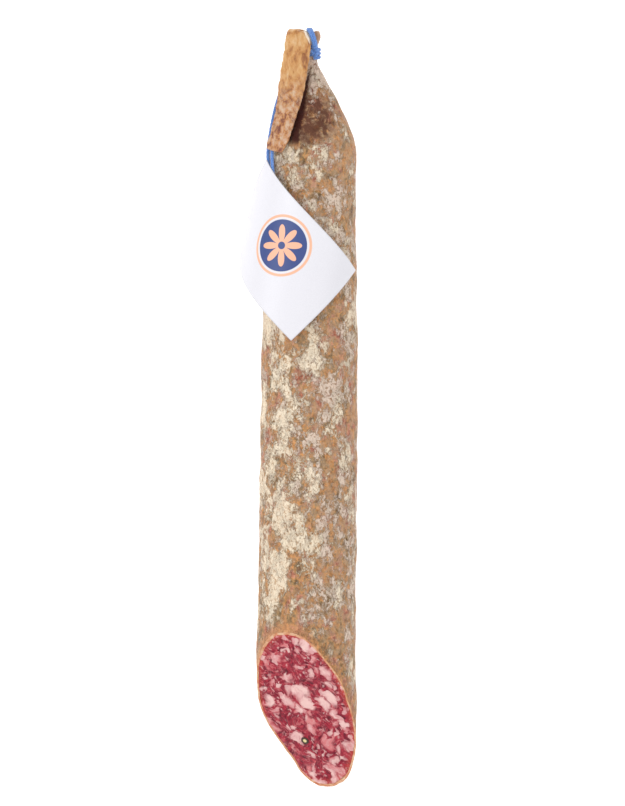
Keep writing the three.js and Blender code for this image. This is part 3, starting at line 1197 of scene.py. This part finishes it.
def new_group(name, inputs, outputs):
    """An empty node group with the named sockets, and its two end nodes."""
    group = bpy.data.node_groups.new(name, "ShaderNodeTree")
    for direction, sockets in (("INPUT", inputs), ("OUTPUT", outputs)):
        for socket, kind in sockets.items():
            group.interface.new_socket(name=socket, in_out=direction, socket_type="NodeSocket" + kind)
    return group, group.nodes.new("NodeGroupInput"), group.nodes.new("NodeGroupOutput")


gut_skin, skin_start, skin_end = new_group(
    "gut_skin",
    {"Thick": "Float", "Young": "Float"},
    {"Skin": "Color", "Cream": "Float", "Grey": "Float", "Fleck": "Float", "Height": "Float"},
)
skin = cloud(gut_skin, places_in_mm(gut_skin, SKIN_STRETCH), *SKIN_NOISE)
skin = paint_scale(gut_skin, skin, *SKIN_SCALE)
reddened = patches(gut_skin, places_in_mm(gut_skin), *REDDENED)
skin = coats(gut_skin, skin, (reddened, REDDENING, TERRACOTTA))
fleck = cloud(gut_skin, places_in_mm(gut_skin, CLUMP_STRETCH), *FLECK_NOISE)


def mould_mask(shift, size, amount):
    """Blots, clumps and flecks are summed and cut off at a step, so large shapes end in small ones."""
    blot_places = places_in_mm(gut_skin, BLOT_STRETCH, shift)
    blots = cloud(gut_skin, blot_places, BLOTS_PER_CLUMP * size, *BLOT_DETAIL)
    clumps = cloud(gut_skin, places_in_mm(gut_skin, CLUMP_STRETCH, shift), size, *CLUMP_DETAIL)
    field = total(gut_skin, clumps, (blots, 1.0), (fleck, FLECK_SHARE), (amount, 1.0))
    return rise(gut_skin, field, *MOULD_STEP)


cream = mould_mask(*CREAM_PATTERN, skin_start.outputs["Thick"])
grey = mould_mask(*GREY_PATTERN, skin_start.outputs["Young"])
height = total(gut_skin, times(gut_skin, grey, GREY_HEIGHT), (cream, CREAM_HEIGHT), (fleck, 1.0))
for name, value in (("Skin", skin), ("Cream", cream), ("Grey", grey), ("Fleck", fleck), ("Height", height)):
    gut_skin.links.new(value, skin_end.inputs[name])
print("nodes in the skin group:", len(gut_skin.nodes))

# %% [markdown]
# ## Where the casing changes
# In the photograph the mould is creamy on the left, greyer and finer on the right, and thin along the
# cut, where the knife hand wiped it. Beside the tail the bare gut is painted dark brown, with less mould,
# and along the tail's right edge runs a strip of painted shadow, the shadow that the tail throws. These
# are masks made from the place on the sausage: across it, along it, away from the cut plane, and away
# from the edge of the tail.

# %% Masks from the place on the sausage
# Each pair gives the place in mm where a mask begins, and where it is full
LEFT_STEP = (-8.0, 14.0)
WIPED_STEP = (0.5, 7.0)
TOP_STEP = (16.0, 26.0)
RAGGED_NOISE = (3.5, 4.0, 0.65)
TAIL_EDGE_TOP = Vector((-0.5, 174.7, 0))
TAIL_EDGE_FOOT = Vector((-10.4, 138.3, 0))
# The painted shadow of the tail: how far it sits beside the tail's right edge, how it widens and frays
TAIL_SHADOW_ASIDE = 0.8
TAIL_SHADOW_WIDENING = 0.1
TAIL_SHADOW_RAGGED = 3.0
TAIL_SHADOW_STEP = (1.2, 2.6)
TAIL_SHADOW_TOP_STEP = (-8.0, 1.0)
TAIL_SHADOW_FOOT_STEP = (-2.0, 3.0)
BROWN_MIDDLE = (1.5, 150.5, 0.0)
BROWN_SQUEEZE = (0.9, 0.85, 0.0)
BROWN_RAGGED = 16.0
BROWN_STEP = (14.0, 23.0)

casing_finish, tree = new_finish("dried_gut", Roughness=0.6, Specular_IOR_Level=0.2)
where = places_in_mm(tree)
across, along, up = axes(tree, where)
leftness = rise(tree, times(tree, across, -1.0), *LEFT_STEP)
from_cut = along_line(tree, where, -CUT_OUTWARD, CUT_POINT / MM)
wiped = rise(tree, from_cut, *WIPED_STEP)
on_top = rise(tree, up, *TOP_STEP)
ragged = cloud(tree, where, *RAGGED_NOISE)

# A strip of painted shadow along the tail's right edge, where the tail shades the cone
down_tail = (TAIL_EDGE_FOOT - TAIL_EDGE_TOP).normalized()
down = along_line(tree, where, down_tail, TAIL_EDGE_TOP)
past_foot = rise(tree, along_line(tree, where, down_tail, TAIL_EDGE_FOOT), *TAIL_SHADOW_FOOT_STEP)
beside = along_line(tree, where, Vector((-down_tail.y, down_tail.x, 0)), TAIL_EDGE_TOP)
beside = work_out(tree, "ABSOLUTE", work_out(tree, "SUBTRACT", beside, TAIL_SHADOW_ASIDE))
beside = total(tree, beside, (down, -TAIL_SHADOW_WIDENING), (ragged, TAIL_SHADOW_RAGGED))
tail_shadow = times(tree, fall(tree, beside, *TAIL_SHADOW_STEP), rise(tree, down, *TAIL_SHADOW_TOP_STEP))
tail_shadow = times(tree, tail_shadow, work_out(tree, "SUBTRACT", on_top, past_foot))

brown = distance_from(tree, where, BROWN_MIDDLE, BROWN_SQUEEZE)
brown = fall(tree, total(tree, brown, (ragged, BROWN_RAGGED)), *BROWN_STEP)
brown = times(tree, brown, on_top)
print("nodes for the masks of the casing:", len(tree.nodes))

# %% [markdown]
# ## The coats of the casing
# The coats follow the way they grew: the grained skin, a thin veil of dust, the peach band that the
# knife hand bared, brown beside the tail, grey and cream mould. Then come small dark specks of painted
# shade, and last the painted shadow that the tail throws on the cone beside it. How much mould grows at
# a place is a steady amount, changed by each mask times its share.

# %% Paint the casing
ALONG_STEPS = {
    "upper_half": (60.0, 110.0),
    "shoulder": (85.0, 120.0),
    "cone": (146.0, 178.0),
    "neck": (172.0, 178.0),
}
THICK_MOULD = {"anywhere": -0.05, "left": 0.17, "brown": -0.28, "shoulder": -0.03}
YOUNG_MOULD = {"anywhere": 0.02, "left": -0.04, "brown": -0.22, "cone": 0.12, "neck": 0.14}
DUST = {"anywhere": 0.65, "upper_half": 0.15, "left": -0.3}
PEACH_SHOWS = {"anywhere": 0.2, "left": 0.5}
# The noise of some patches, and the noise values where they begin and are full
VEILED = ((3.2, 5.0, 0.62, 0.5), (0.36, 0.66))
GRAINED = ((2.2, 5.0, 0.7, 0.6), (0.3, 0.7))
STILL_BROWN = ((4.0, 4.0, 0.65, 0.6), (0.28, 0.5))
SPECKED = ((1.2, 3.0, 0.65, 0.6), (0.60, 0.72))
GRAIN_STRETCH = (1, 0.7, 1)
CRUST_STEP = (0.32, 0.54)
BARED_RAGGED = -4.0
BARED_STEP = (-1.2, 2.2)
CREAM = paint(229, 214, 190)
CREAM_SHADE = paint(184, 152, 120)
GREY_WHITE = paint(216, 199, 184)
GREY_SHADE = paint(138, 110, 88)
DARK_BROWN = paint(78, 37, 24)
# Dark red brown of the painted shadow that the tail throws on the cone
TAIL_SHADOW_COLOUR = paint(54, 14, 6)
# Colour of the small dark specks of painted shade among the mould
PAINTED_SHADE_SPECK = paint(76, 54, 42)
PEACH = paint(208, 150, 108)
VEIL = paint(176, 146, 118)
GRAIN_SHOWS = 0.5
MOULD_RELIEF = 0.8

masks = {name: rise(tree, along, *step) for name, step in ALONG_STEPS.items()}
masks.update(left=leftness, brown=brown)


def by_place(shares):
    """A steady amount, plus each named mask times its share."""
    terms = [(masks[name], share) for name, share in shares.items() if name in masks]
    return total(tree, shares["anywhere"], *terms)


amounts = {"Thick": by_place(THICK_MOULD), "Young": by_place(YOUNG_MOULD)}
group = add_node(tree, "Group", amounts, node_tree=gut_skin)
crust = rise(tree, group.outputs["Fleck"], *CRUST_STEP)
grain = patches(tree, places_in_mm(tree, GRAIN_STRETCH), *GRAINED)
bared = fall(tree, total(tree, from_cut, (ragged, BARED_RAGGED)), *BARED_STEP)
shade = coats(
    tree,
    blend_paint(tree, GRAIN_SHOWS, group.outputs["Skin"], grain, "OVERLAY"),
    (times(tree, patches(tree, where, *VEILED), wiped), by_place(DUST), VEIL),
    (bared, by_place(PEACH_SHOWS), PEACH),
    (times(tree, brown, patches(tree, where, *STILL_BROWN)), 0.9, DARK_BROWN),
    (times(tree, group.outputs["Grey"], wiped), 0.8, blend_paint(tree, crust, GREY_SHADE, GREY_WHITE)),
    (times(tree, group.outputs["Cream"], wiped), 0.9, blend_paint(tree, crust, CREAM_SHADE, CREAM)),
    # Small dark specks of painted shade
    (patches(tree, where, *SPECKED), 0.6, PAINTED_SHADE_SPECK),
    # The painted shadow of the tail, laid last
    (tail_shadow, 0.97, TAIL_SHADOW_COLOUR),
)
dress(casing_finish, shade, group.outputs["Height"], MOULD_RELIEF, casing)

# %% [markdown]
# ## The cut edge of the casing
# The knife laid the gut's own thickness bare, as a thin rim round the meat, fresh and lighter than the
# skin. It is the same piece with a second material, on the faces that lie in the cut plane.

# %% Paint the cut edge
RIM_COLOURS = [
    (0.35, paint(192, 112, 74)),
    (0.5, paint(206, 148, 108)),
    (0.66, paint(218, 180, 146)),
]
RIM_CLOUDS = 3.0
RIM_GRAIN = 0.6
RIM_RELIEF = 0.3

rim_finish, tree = new_finish("dried_rim", Roughness=0.5)
where = places_in_mm(tree)
shade = paint_scale(tree, cloud(tree, where, RIM_CLOUDS), *RIM_COLOURS)
dress(rim_finish, shade, cloud(tree, where, RIM_GRAIN), RIM_RELIEF, casing)

rim_faces = [face for face in casing.data.polygons if abs(off_cut(face.center)) < ON_PLANE]
for face in rim_faces:
    face.material_index = 1
    face.use_smooth = False
print("faces on the rim:", len(rim_faces))

# %% [markdown]
# ## The finish of the tail
# The empty gut past the tie has dried to an orange tan strap, wrinkled along its length. Its lower
# half is blotched red and pinkish grey, with a thin mould. The fold's torn edge and its upper corner
# beside the twine are near white: partly the pale dry gut there, and partly a painted highlight along
# the edge. The ear is greyer. One material does for both strips, because the masks read the place.

# %% Paint the tail
STRAP_RUST = paint(146, 92, 62)
STRAP_AMBER = paint(182, 128, 74)
STRAP_GREY = paint(194, 168, 140)
UPPER_SCALE = [
    (0.38, paint(138, 86, 50)),
    (0.46, STRAP_AMBER),
    (0.54, paint(198, 152, 98)),
    (0.64, paint(208, 172, 130)),
]
LOWER_SCALE = [
    (0.37, paint(110, 60, 42)),
    (0.44, STRAP_RUST),
    (0.50, STRAP_AMBER),
    (0.56, paint(186, 143, 116)),
    (0.64, STRAP_GREY),
]
# Near white of the fold's edge: pale dry gut, with a painted highlight on the edge
PALE_RIM_AND_HIGHLIGHT = paint(236, 224, 206)
EAR_PINK = paint(176, 146, 126)
STRAP_MOULD = {"Thick": 0.03, "Young": 0.06}
WRINKLE_STRETCH = (1, 0.3, 1)
WRINKLE_NOISE = (1.8, 4.0, 0.62, 0.4)
STRAP_STRETCH = (1, 0.4, 1)
STRAP_NOISE = (4.0, 4.0, 0.6, 0.5)
WRINKLE_SHARE = 0.35
BLOTCH_SHIFT = (9, 4, 0)
BLOTCH_NOISE = (3.6, 5.0, 0.66, 0.25)
TORN_NOISE = (5.0, 3.0, 0.6)
LOWER_RAGGED = 26.0
LOWER_STEP = (-163.0, -143.0)
STRAP_CRUST_STEP = (0.4, 0.6)
# Where the near white lies: the fold's crest, and its corner beside the twine, partly painted highlight
FOLD_STEP = (197.3, 197.9)
TORN_CORNER = Vector((-2.6, 197.1, 0))
TORN_OUTWARD = Vector((0.91, 0.415, 0))
TORN_RAGGED = 0.8
TORN_STEP = (-0.5, 0.1)
TORN_FOOT_STEP = (188.0, 191.0)
TORN_SIDE = 0.9
EAR_STEP = (1.0, 2.0)
MOULD_SHOWS = 0.4
MOULD_HEIGHT = 0.3
WRINKLE_RELIEF = 0.8

tail_finish, tree = new_finish("dried_strap", Roughness=0.42, Specular_IOR_Level=0.35)
where = places_in_mm(tree)
across, along, _ = axes(tree, where)
group = add_node(tree, "Group", STRAP_MOULD, node_tree=gut_skin)
wrinkles = cloud(tree, places_in_mm(tree, WRINKLE_STRETCH), *WRINKLE_NOISE)
strap = cloud(tree, places_in_mm(tree, STRAP_STRETCH), *STRAP_NOISE)
strap = total(tree, times(tree, strap, 1 - WRINKLE_SHARE), (wrinkles, WRINKLE_SHARE))
blotches = cloud(tree, places_in_mm(tree, SKIN_STRETCH, BLOTCH_SHIFT), *BLOTCH_NOISE)
ragged = cloud(tree, where, *TORN_NOISE)
lower = rise(tree, total(tree, times(tree, along, -1.0), (ragged, LOWER_RAGGED)), *LOWER_STEP)
crust = rise(tree, group.outputs["Fleck"], *STRAP_CRUST_STEP)
mould = times(tree, group.outputs["Grey"], lower, MOULD_SHOWS)
torn = along_line(tree, where, TORN_OUTWARD, TORN_CORNER)
torn = rise(tree, total(tree, torn, (ragged, TORN_RAGGED)), *TORN_STEP)
torn = times(tree, torn, rise(tree, along, *TORN_FOOT_STEP))
torn = times(tree, torn, work_out(tree, "LESS_THAN", across, TORN_SIDE))
shade = coats(
    tree,
    paint_scale(tree, strap, *UPPER_SCALE),
    (lower, 1.0, paint_scale(tree, blotches, *LOWER_SCALE)),
    (mould, 1.0, blend_paint(tree, crust, STRAP_RUST, STRAP_GREY)),
    # The fold's crest and upper corner: pale dry gut and a painted highlight
    (rise(tree, along, *FOLD_STEP), 1.0, PALE_RIM_AND_HIGHLIGHT),
    (torn, 0.8, PALE_RIM_AND_HIGHLIGHT),
    (rise(tree, across, *EAR_STEP), 0.65, EAR_PINK),
)
relief = total(tree, wrinkles, (mould, MOULD_HEIGHT))
dress(tail_finish, shade, relief, WRINKLE_RELIEF, tail, ear)

# %% [markdown]
# ## The finish of the meat
# The cut shows coarse mince: pieces of white fat of many sizes, pressed into dark red lean. Cells of
# a Voronoi pattern are such pieces, and each cell's own random value says whether it is fat or lean.
# Bending the coordinates with noise first gives torn, curved pieces and not tidy cells, and drawing
# them out in one direction gives the grain that the filling machine leaves. The lean comes first.

# %% Grind the lean
# Size of the noise and how far it pushes, in mm
BENDS = [(10.0, 2.4), (3.2, 0.9), (1.2, 0.22)]
NOISE_REACH = 4
FIBRE_TURN = -60
FIBRE_LENGTH = 2.4
FIBRE_NOISE = (1.3, 4.0, 0.65, 0.6)
LEAN_NOISE = (3.4, 4.0, 0.65)
FIBRE_SHARE = 0.5
LEAN_SCALE = [
    (0.4, paint(84, 8, 28)),
    (0.48, paint(128, 18, 42)),
    (0.57, paint(166, 42, 58)),
    (0.68, paint(188, 80, 86)),
]
LEAN_RIM = paint(186, 66, 52)
NEAR_RIM_STEP = (22.0, 25.4)


def bent_places(tree, where, size, amount):
    """Coordinates pushed about by noise of one size, by up to amount mm."""
    noise = add_node(tree, "TexNoise", {"Vector": where, "Scale": 1 / size, "Detail": 2.0})
    centred = vector_sum(tree, "SUBTRACT", noise.outputs["Color"], (0.5, 0.5, 0.5))
    pushed = vector_sum(tree, "MULTIPLY", centred, (NOISE_REACH * amount,) * 3)
    return vector_sum(tree, "ADD", where, pushed)


def drawn_out(tree, where, degrees, length):
    """Coordinates in which a pattern is length times as long in one direction on the table."""
    inputs = {"Vector": where, "Rotation": (0, 0, math.radians(degrees)), "Scale": (length, 1, 1)}
    return add_node(tree, "Mapping", inputs, vector_type="TEXTURE").outputs["Vector"]


meat_finish, tree = new_finish("cut_mince", Roughness=0.38, Specular_IOR_Level=0.3)
where = places_in_mm(tree)
torn = where
for size, amount in BENDS:
    torn = bent_places(tree, torn, size, amount)
fibres = cloud(tree, drawn_out(tree, torn, FIBRE_TURN, FIBRE_LENGTH), *FIBRE_NOISE)
lean = times(tree, cloud(tree, torn, *LEAN_NOISE), 1 - FIBRE_SHARE)
lean = total(tree, lean, (fibres, FIBRE_SHARE))
lean = paint_scale(tree, lean, *LEAN_SCALE)
from_axis = distance_from(tree, where, CUT_POINT / MM, (1, 0, 1))
lean = coats(tree, lean, (rise(tree, from_axis, *NEAR_RIM_STEP), 0.7, LEAN_RIM))
print("nodes for the lean:", len(tree.nodes))

# %% [markdown]
# ## The fat in the meat
# Thin pale strands run through the lean. Three sizes of fat pieces are laid over them, the small
# ones first, so that a big piece covers what it meets. Each piece has a tint of its own, and is paler
# towards its middle.

# %% Lay the fat into the lean
FAT_PINK = paint(204, 116, 118)
FAT_SCALE = [(0.2, FAT_PINK), (0.5, paint(212, 156, 156)), (0.85, paint(230, 192, 186))]
STRAND_NOISE = (4.0, 2.0, 0.5)
STRAND_STEP = (0.004, 0.026)
# Size in mm, share of the cut, reach and softness of its edge, direction in degrees, how many times
# as long as wide, and how well it covers the lean
FAT_PIECES = [
    (1.5, 0.24, 0.62, 0.34, -48, 1.8, 0.55),
    (3.2, 0.36, 0.66, 0.3, 78, 1.9, 0.8),
    (6.0, 0.46, 0.70, 0.32, -62, 1.6, 0.94),
]
PALE_MIDDLE = -1.5
TINT_BASE = -0.06
TINT_BY_PIECE = 0.6
TINT_BY_FIBRE = 1.2
FAT_HEIGHT = 0.3
MINCE_RELIEF = 0.12


def fat_pieces(tree, where, size, share, reach, softness):
    """A mask of torn pieces of about one size on a share of the cut, and how pale each place is."""
    cells = add_node(tree, "TexVoronoi", {"Vector": where, "Scale": 1 / size})
    chance = add_node(tree, "SeparateColor", {"Color": cells.outputs["Color"]})
    inside = fall(tree, cells.outputs["Distance"], reach - softness, reach)
    chosen = work_out(tree, "LESS_THAN", chance.outputs["Red"], share)
    pale = total(tree, chance.outputs["Green"], (cells.outputs["Distance"], PALE_MIDDLE))
    return times(tree, chosen, inside), pale


strand = work_out(tree, "SUBTRACT", cloud(tree, torn, *STRAND_NOISE), 0.5)
strand = work_out(tree, "ABSOLUTE", strand)
shade = coats(tree, lean, (fall(tree, strand, *STRAND_STEP), 0.5, FAT_PINK))
raised = 0.0
for size, share, reach, softness, degrees, length, cover in FAT_PIECES:
    pieces, pale = fat_pieces(tree, drawn_out(tree, torn, degrees, length), size, share, reach, softness)
    tint = total(tree, TINT_BASE, (pale, TINT_BY_PIECE), (fibres, TINT_BY_FIBRE))
    shade = coats(tree, shade, (pieces, cover, paint_scale(tree, tint, *FAT_SCALE)))
    raised = work_out(tree, "MAXIMUM", pieces, raised)
dress(meat_finish, shade, total(tree, fibres, (raised, FAT_HEIGHT)), MINCE_RELIEF, meat)

# %% [markdown]
# ## The finish of the peppercorn
# Seen on the cut, a peppercorn is a pale floury core in a dark hull. One distance, from the middle
# of the corn, tells core and hull apart.

# %% Paint the peppercorn
HULL_STEP = (1.25, 1.6)
HULL_BROWN = paint(62, 40, 28)
HULL_NOISE = (0.5, 2.0)
HULL_RAGGED = 0.5
CORE_SCALE = [(0.35, paint(206, 184, 120)), (0.65, paint(240, 228, 176))]
CORE_GRAIN = 0.6
HULL_GRAIN = 0.4
HULL_RELIEF = 0.2

pepper_finish, tree = new_finish("peppercorn", Roughness=0.6)
where = places_in_mm(tree)
from_middle = distance_from(tree, where, peppercorn_middle / MM)
ragged = cloud(tree, where, *HULL_NOISE)
hull = rise(tree, total(tree, from_middle, (ragged, HULL_RAGGED)), *HULL_STEP)
core = paint_scale(tree, cloud(tree, where, CORE_GRAIN), *CORE_SCALE)
shade = coats(tree, core, (hull, 1.0, HULL_BROWN))
dress(pepper_finish, shade, cloud(tree, where, HULL_GRAIN), HULL_RELIEF, peppercorn)

# %% [markdown]
# ## The finish of the twine
# Dyed cotton is matt and a little fuzzy. Fine noise along the plies gives the fibres, and the shader's
# sheen gives the fuzz at the edges.

# %% Dye the twine
DYE_SCALE = [(0.3, paint(54, 96, 160)), (0.5, paint(88, 130, 198)), (0.7, paint(134, 168, 224))]
DYE_NOISE = (0.5, 3.0, 0.7)
FUZZ_NOISE = (0.25, 2.0)
FUZZ_RELIEF = 0.15

twine_finish, tree = new_finish("blue_cotton", Roughness=0.85, Sheen_Weight=0.3)
where = places_in_mm(tree)
shade = paint_scale(tree, cloud(tree, where, *DYE_NOISE), *DYE_SCALE)
dress(twine_finish, shade, cloud(tree, where, *FUZZ_NOISE), FUZZ_RELIEF, left_end, right_end, tie)

# %% [markdown]
# ## The finish of the label
# The card is smooth white paper. It carries a plain printed ornament, a blue disc with a ring and a
# flower of eight petals in peach. The grid's own UV map lies flat on the card and bends with it, so
# the ornament is drawn there in millimetres, by distance and angle from its middle.

# %% Print the card
PRINT_MIDDLE = (43.0, 21.5)
DISC_RADIUS = 13.6
RING_INNER = 14.8
RING_OUTER = 16.2
PETALS = 8
PETAL_LENGTH = 8.2
PETAL_START = 2.8
EYE_RADIUS = 2.0
INK_EDGE = 0.12
INK_BLUE = paint(40, 62, 122)
INK_PEACH = paint(226, 170, 140)
PAPER = paint(209, 208, 214)
PAPER_BRIGHT = paint(214, 213, 219)
PAPER_STEP = (0.3, 0.7)
PAPER_CLOUDS = (0.5,)
PAPER_GRAIN = (0.3, 2.0)
PAPER_RELIEF = 0.03

paper_finish, tree = new_finish("printed_card", Roughness=0.45)
sheet = {
    "Vector": add_node(tree, "UVMap", uv_map=label.data.uv_layers[0].name).outputs["UV"],
    "Scale": (CARD_LONG / MM, CARD_SHORT / MM, 1),
    "Location": (-PRINT_MIDDLE[0], PRINT_MIDDLE[1] - CARD_SHORT / MM, 0),
}
on_card = add_node(tree, "Mapping", sheet).outputs["Vector"]
across, along, _ = axes(tree, on_card)
reach = vector_sum(tree, "LENGTH", on_card)
angle = work_out(tree, "ARCTAN2", along, across)


def inside_radius(radius):
    """1 within a radius of the print's middle, with a crisp printed edge."""
    return fall(tree, reach, radius - INK_EDGE, radius + INK_EDGE)


lobes = work_out(tree, "ABSOLUTE", work_out(tree, "COSINE", times(tree, angle, PETALS / 2)))
petals = work_out(tree, "SUBTRACT", total(tree, PETAL_START, (lobes, PETAL_LENGTH)), reach)
petals = rise(tree, petals, -INK_EDGE, INK_EDGE)
ring = work_out(tree, "SUBTRACT", inside_radius(RING_OUTER), inside_radius(RING_INNER))
where = places_in_mm(tree)
grain = patches(tree, where, PAPER_CLOUDS, PAPER_STEP)
shade = coats(
    tree,
    blend_paint(tree, grain, PAPER, PAPER_BRIGHT),
    (ring, 1.0, INK_PEACH),
    (inside_radius(DISC_RADIUS), 1.0, INK_BLUE),
    (petals, work_out(tree, "SUBTRACT", 1.0, inside_radius(EYE_RADIUS)), INK_PEACH),
)
dress(paper_finish, shade, cloud(tree, where, *PAPER_GRAIN), PAPER_RELIEF, label)

# %% [markdown]
# ## The finish of the pad
# The pad is a scrap of the same paper, unprinted, rougher and more crumpled than the card.

# %% Finish the pad in plain paper
PAD_CLOUDS = (0.8,)
PAD_GRAIN = 0.5
PAD_RELIEF = 0.06

pad_finish, tree = new_finish("plain_paper", Roughness=0.6)
where = places_in_mm(tree)
shade = blend_paint(tree, patches(tree, where, PAD_CLOUDS, PAPER_STEP), PAPER, PAPER_BRIGHT)
dress(pad_finish, shade, cloud(tree, where, PAD_GRAIN), PAD_RELIEF, pad)

# %% [markdown]
# ## The finish of the table
# The table is a white sheet lit faintly from below, as on a light table. That keeps the shadow beside
# the sausage pale and brightens its edges, as in the photograph.

# %% Light the table from below
TABLE_WHITE = 0.93
TABLE_GLOW = 0.42

table_finish, tree = new_finish(
    "white_table",
    Roughness=0.9,
    Base_Color=(TABLE_WHITE, TABLE_WHITE, TABLE_WHITE, 1),
    Emission_Color=(1, 1, 1, 1),
    Emission_Strength=TABLE_GLOW,
)
table.data.materials.append(table_finish)
print("the table glows by", TABLE_GLOW)
